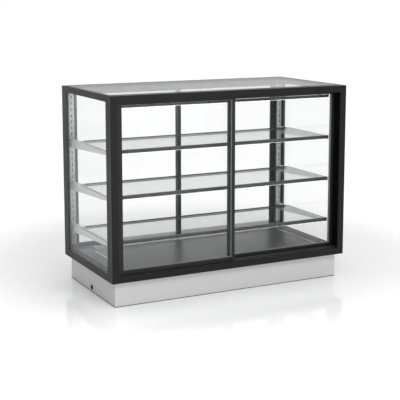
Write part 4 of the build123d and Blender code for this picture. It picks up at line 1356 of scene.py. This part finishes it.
@dataclass
class Controls:
    """Panel with the thermostat dial and the two rocker switches."""

    tick_count: int = 28
    tick_radius: float = 20.5 * MM
    tick_width: float = 0.4 * MM
    tick_length: float = 2.0 * MM
    number_radius: float = 25.5 * MM
    number_height: float = 4.2 * MM
    numbers_printed: tuple[str, ...] = ("0", "30", "50", "70", "90")
    sweep: float = math.radians(270.0)
    ink_depth: float = 0.12 * MM
    tick_edge: float = 0.03 * MM
    line_edge: float = 0.05 * MM
    mark_edge: float = 0.02 * MM
    line_width: float = 1.4 * MM
    line_start: float = 1.0 * MM
    line_end: float = 14.0 * MM
    line_sink: float = 0.02 * MM
    crown: float = 2.2 * MM
    crown_rise: float = 1.17 * MM
    rocker_reach: float = 7.8 * MM
    rocker_tilt: float = math.radians(7.0)
    mark_share: float = 0.52
    mark_depth: float = 0.1 * MM
    ring_inner: float = 1.25 * MM
    ring_outer: float = 1.7 * MM
    ring_sides: int = 24
    bar_half_width: float = 0.22 * MM
    bar_half_length: float = 1.6 * MM

    def dress(self) -> None:
        """Give the panel and its parts their finishes."""
        paint(BASE_STEEL, "control_panel")
        paint(REGULATOR, "thermostat_body")
        paint(KNOB_PLASTIC, "thermostat_knob", "switch_bodies")
        paint(ROCKER_PLASTIC, "heater_rocker", "light_rocker")

    def build(self) -> None:
        """Add the printed and raised detail."""
        self.ticks()
        self.numbers()
        self.pointer()
        for name, body in (("heater_rocker", "heater_switch"), ("light_rocker", "light_switch")):
            self.rocker_marks(name, body)

    @staticmethod
    def panel_place(node: str) -> Vector:
        """Find the point of the panel's face that a node lies over.

        Args:
            node: The node.

        Returns:
            The point, on the middle height of the dial.
        """
        ends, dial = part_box(node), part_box("thermostat_body")
        return Vector(((ends[0].x + ends[1].x) / 2.0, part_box("control_panel")[1].y,
                       (dial[0].z + dial[1].z) / 2.0))

    def ticks(self) -> None:
        """Print the ring of marks round the knob."""
        half_x, half_z = self.tick_width / 2.0, self.tick_length / 2.0
        tick = Shape().round_box((-half_x, 0.0, -half_z), (half_x, self.ink_depth, half_z), self.tick_edge)
        fit(repeated("dial_ticks", ring_layout(), tick.piece("dial_tick.item"), DARK_INK,
                     Centre=tuple(self.panel_place("thermostat_body")), Radius=self.tick_radius,
                     Angle_Step=-self.sweep / (self.tick_count - 1), Count=self.tick_count),
            "case", "control_plastic")

    def numbers(self) -> None:
        """Print the temperatures round the dial, as seen from behind the case."""
        centre = self.panel_place("thermostat_body")
        pieces = []
        for index, text in enumerate(self.numbers_printed):
            turn = self.sweep * index / (len(self.numbers_printed) - 1)
            place = centre + Vector((-math.sin(turn), 0.0, math.cos(turn))) * self.number_radius
            pieces.append(self.letters(text, place))
        fit(joined("dial_numbers", DARK_INK, pieces), "case", "control_plastic")

    def letters(self, text: str, place: Vector) -> Thing:
        """Raised print on the panel, read from behind the case.

        Args:
            text: What it says.
            place: Middle of the print.

        Returns:
            The print as a mesh.
        """
        curve = bpy.data.curves.new(f"number_{text}.font", "FONT")
        curve.body = text
        curve.size = self.number_height
        curve.extrude = self.ink_depth / 2.0
        curve.align_x = curve.align_y = "CENTER"
        made = settled(as_object(curve.name, curve), f"number_{text}")
        made.data.transform(Matrix.Translation(place) @ Matrix.Rotation(math.pi, 4, "Z")
                            @ Matrix.Rotation(math.pi / 2.0, 4, "X"))
        return made

    def pointer(self) -> None:
        """Fill the raised pointer of the knob with a thin white line."""
        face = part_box("thermostat_knob")[1].y
        x, _, z = self.panel_place("thermostat_body")
        half = self.line_width / 2.0
        line = Shape().round_box((x - half, face - self.line_sink, z + self.line_start),
                                 (x + half, face + self.ink_depth, z + self.line_end), self.line_edge)
        fit(line.piece("knob_pointer_line", WHITE_INK), "knob", "control_plastic")

    def rocker_marks(self, name: str, body: str) -> None:
        """Print a ring on the upper half of a rocker and a line on its lower half.

        Args:
            name: The rocker's node.
            body: Body that it belongs to.
        """
        ring = Shape().loft([[(x, out, z) for x, z in circle(radius, self.ring_sides)] for radius, out in (
            (self.ring_inner, 0.0), (self.ring_inner, self.mark_depth),
            (self.ring_outer, self.mark_depth), (self.ring_outer, 0.0))], closed=True)
        bar = Shape().round_box((-self.bar_half_width, 0.0, -self.bar_half_length),
                                (self.bar_half_width, self.mark_depth, self.bar_half_length), self.mark_edge)
        slope = math.atan2(self.crown_rise, self.rocker_reach)
        rocker = Matrix.Translation(self.panel_place(name)) @ Matrix.Rotation(self.rocker_tilt, 4, "X")
        out, reach = self.crown + self.crown_rise * self.mark_share, self.rocker_reach * self.mark_share
        marks = [mark.moved(rocker @ Matrix.Translation((0.0, out, half * reach))
                            @ Matrix.Rotation(-half * slope, 4, "X")).piece(f"{name}_mark")
                 for mark, half in ((ring, 1), (bar, -1))]
        fit(joined(f"{name}_marks", WHITE_INK, marks), body, "rocker_plastic")


@dataclass
class Studio:
    """Pale floor, soft lights and the camera."""

    camera_place: Point = (-2.2089, -4.2689, 1.3421)
    camera_yaw: float = 27.12
    camera_pitch: float = -8.78
    lens: float = 91.87
    shift: float = -0.1135
    horizon: float = 0.68
    horizon_right: float = 0.26
    horizon_rear: float = -0.05
    zenith: float = 1.22
    polish: float = 0.8
    polish_near: float = 0.7
    polish_far: float = 1.7
    # Painted shadow on the floor: grey round this centre, fading to near-white between these distances.
    shadow_centre: Flat = (0.2, 0.3)
    shadow_start: float = 0.8
    shadow_end: float = 1.6
    floor_size: float = 60.0
    sensor: float = 36.0
    view_limit: float = 200.0

    def floor(self) -> None:
        """Lay a large pale floor, polished round the case and dull further out, with a painted shadow that
        darkens its colour round the case.
        """
        coat = Coat("studio floor")
        cloud = coat.noise(0.7, 2.0)
        x, y, _ = coat.axes(coat.place)
        near = coat.math("SQRT", x * x + y * y).step(self.polish_near, self.polish_far, self.polish, 0.0)
        off_x, off_y = x - self.shadow_centre[0], y - self.shadow_centre[1]
        shadow_fade = coat.math("SQRT", off_x * off_x + off_y * off_y).step(self.shadow_start, self.shadow_end)
        # Painted shadow: grey floor colour round the case, near-white further out.
        pale = coat.mix(cloud, (0.77, 0.77, 0.77), (0.79, 0.79, 0.79))
        coat.finish(Base_Color=coat.mix(shadow_fade, pale, (0.98, 0.98, 0.98)),
                    Roughness=coat.within(0.6 + cloud * 0.05), Specular_IOR_Level=0.0,
                    Coat_Weight=near, Coat_Roughness=0.08)
        shape = Shape()
        bmesh.ops.create_grid(shape.mesh, x_segments=8, y_segments=8, size=self.floor_size)
        floor = shape.piece("studio_floor")
        floor.data.materials.append(coat.material)

    def sky(self) -> None:
        """White behind the case, and a soft grey-to-white dome for the light."""
        world = bpy.data.worlds.new("studio")
        bpy.context.scene.world = world
        world.use_nodes = True
        graph = Graph(world.node_tree)
        place = graph.node("ShaderNodeTexCoord").outputs["Generated"]
        parts = graph.node("ShaderNodeSeparateXYZ", {0: place}).outputs
        right, rear, up = (Value(graph, part) for part in parts)
        level = self.horizon + right * self.horizon_right + rear * self.horizon_rear
        glow = graph.within(level + graph.within(up) * (self.zenith - level), 0.0, 4.0)
        seen = graph.node("ShaderNodeLightPath").outputs["Is Camera Ray"]
        soft, white = (graph.node("ShaderNodeBackground", {"Color": (1.0, 1.0, 1.0), "Strength": strength})
                       for strength in (glow, 1.0))
        both = graph.node("ShaderNodeMixShader", {0: seen, 1: soft.outputs[0], 2: white.outputs[0]})
        graph.node("ShaderNodeOutputWorld", {"Surface": both.outputs[0]})

    @staticmethod
    def panel(name: str, place: Point, aim: Point, size: Flat, power: float) -> None:
        """Hang one soft light.

        Args:
            name: Name of the light.
            place: Where it hangs.
            aim: Where it points.
            size: Its width and height.
            power: Its power in watts.
        """
        lamp = bpy.data.lights.new(name, "AREA")
        lamp.shape = "RECTANGLE"
        lamp.size, lamp.size_y = size
        lamp.energy = power
        held = as_object(name, lamp)
        held.location = place
        held.rotation_euler = (Vector(aim) - Vector(place)).to_track_quat("-Z", "Y").to_euler()

    def camera(self) -> None:
        """Stand the camera where the photograph was taken."""
        data = bpy.data.cameras.new("camera")
        data.sensor_width = self.sensor
        data.lens = self.lens
        data.shift_y = self.shift
        data.clip_end = self.view_limit
        held = as_object("camera", data)
        held.location = self.camera_place
        held.rotation_euler = (math.radians(90.0 + self.camera_pitch), 0.0, -math.radians(self.camera_yaw))
        bpy.context.scene.camera = held

    def build(self) -> None:
        """Set up the studio."""
        bpy.context.scene.view_settings.view_transform = "Standard"
        self.floor()
        self.sky()
        self.panel("front_fill", place=(-0.45, -2.4, 1.9), aim=(-0.5, -1.0, 0.0), size=(1.4, 0.7), power=30.0)
        self.panel("low_fill", place=(0.1, -3.6, 0.6), aim=(0.1, -0.2, 0.1), size=(3.0, 0.9), power=10.0)
        self.camera()


def main() -> None:
    """Dress every node, add the fine pieces and set up the studio."""
    logging.basicConfig(level=logging.INFO, format="%(name)s %(message)s")
    parts = (Cabinet(), SlidingDoors(), ShelfSystem(), Deck(), DropInBase(), Controls())
    for part in (*parts, HotAirSet()):
        part.dress()
    for part in (Screws(), *parts):
        part.build()
    Studio().build()


if __name__ == "__main__":
    main()
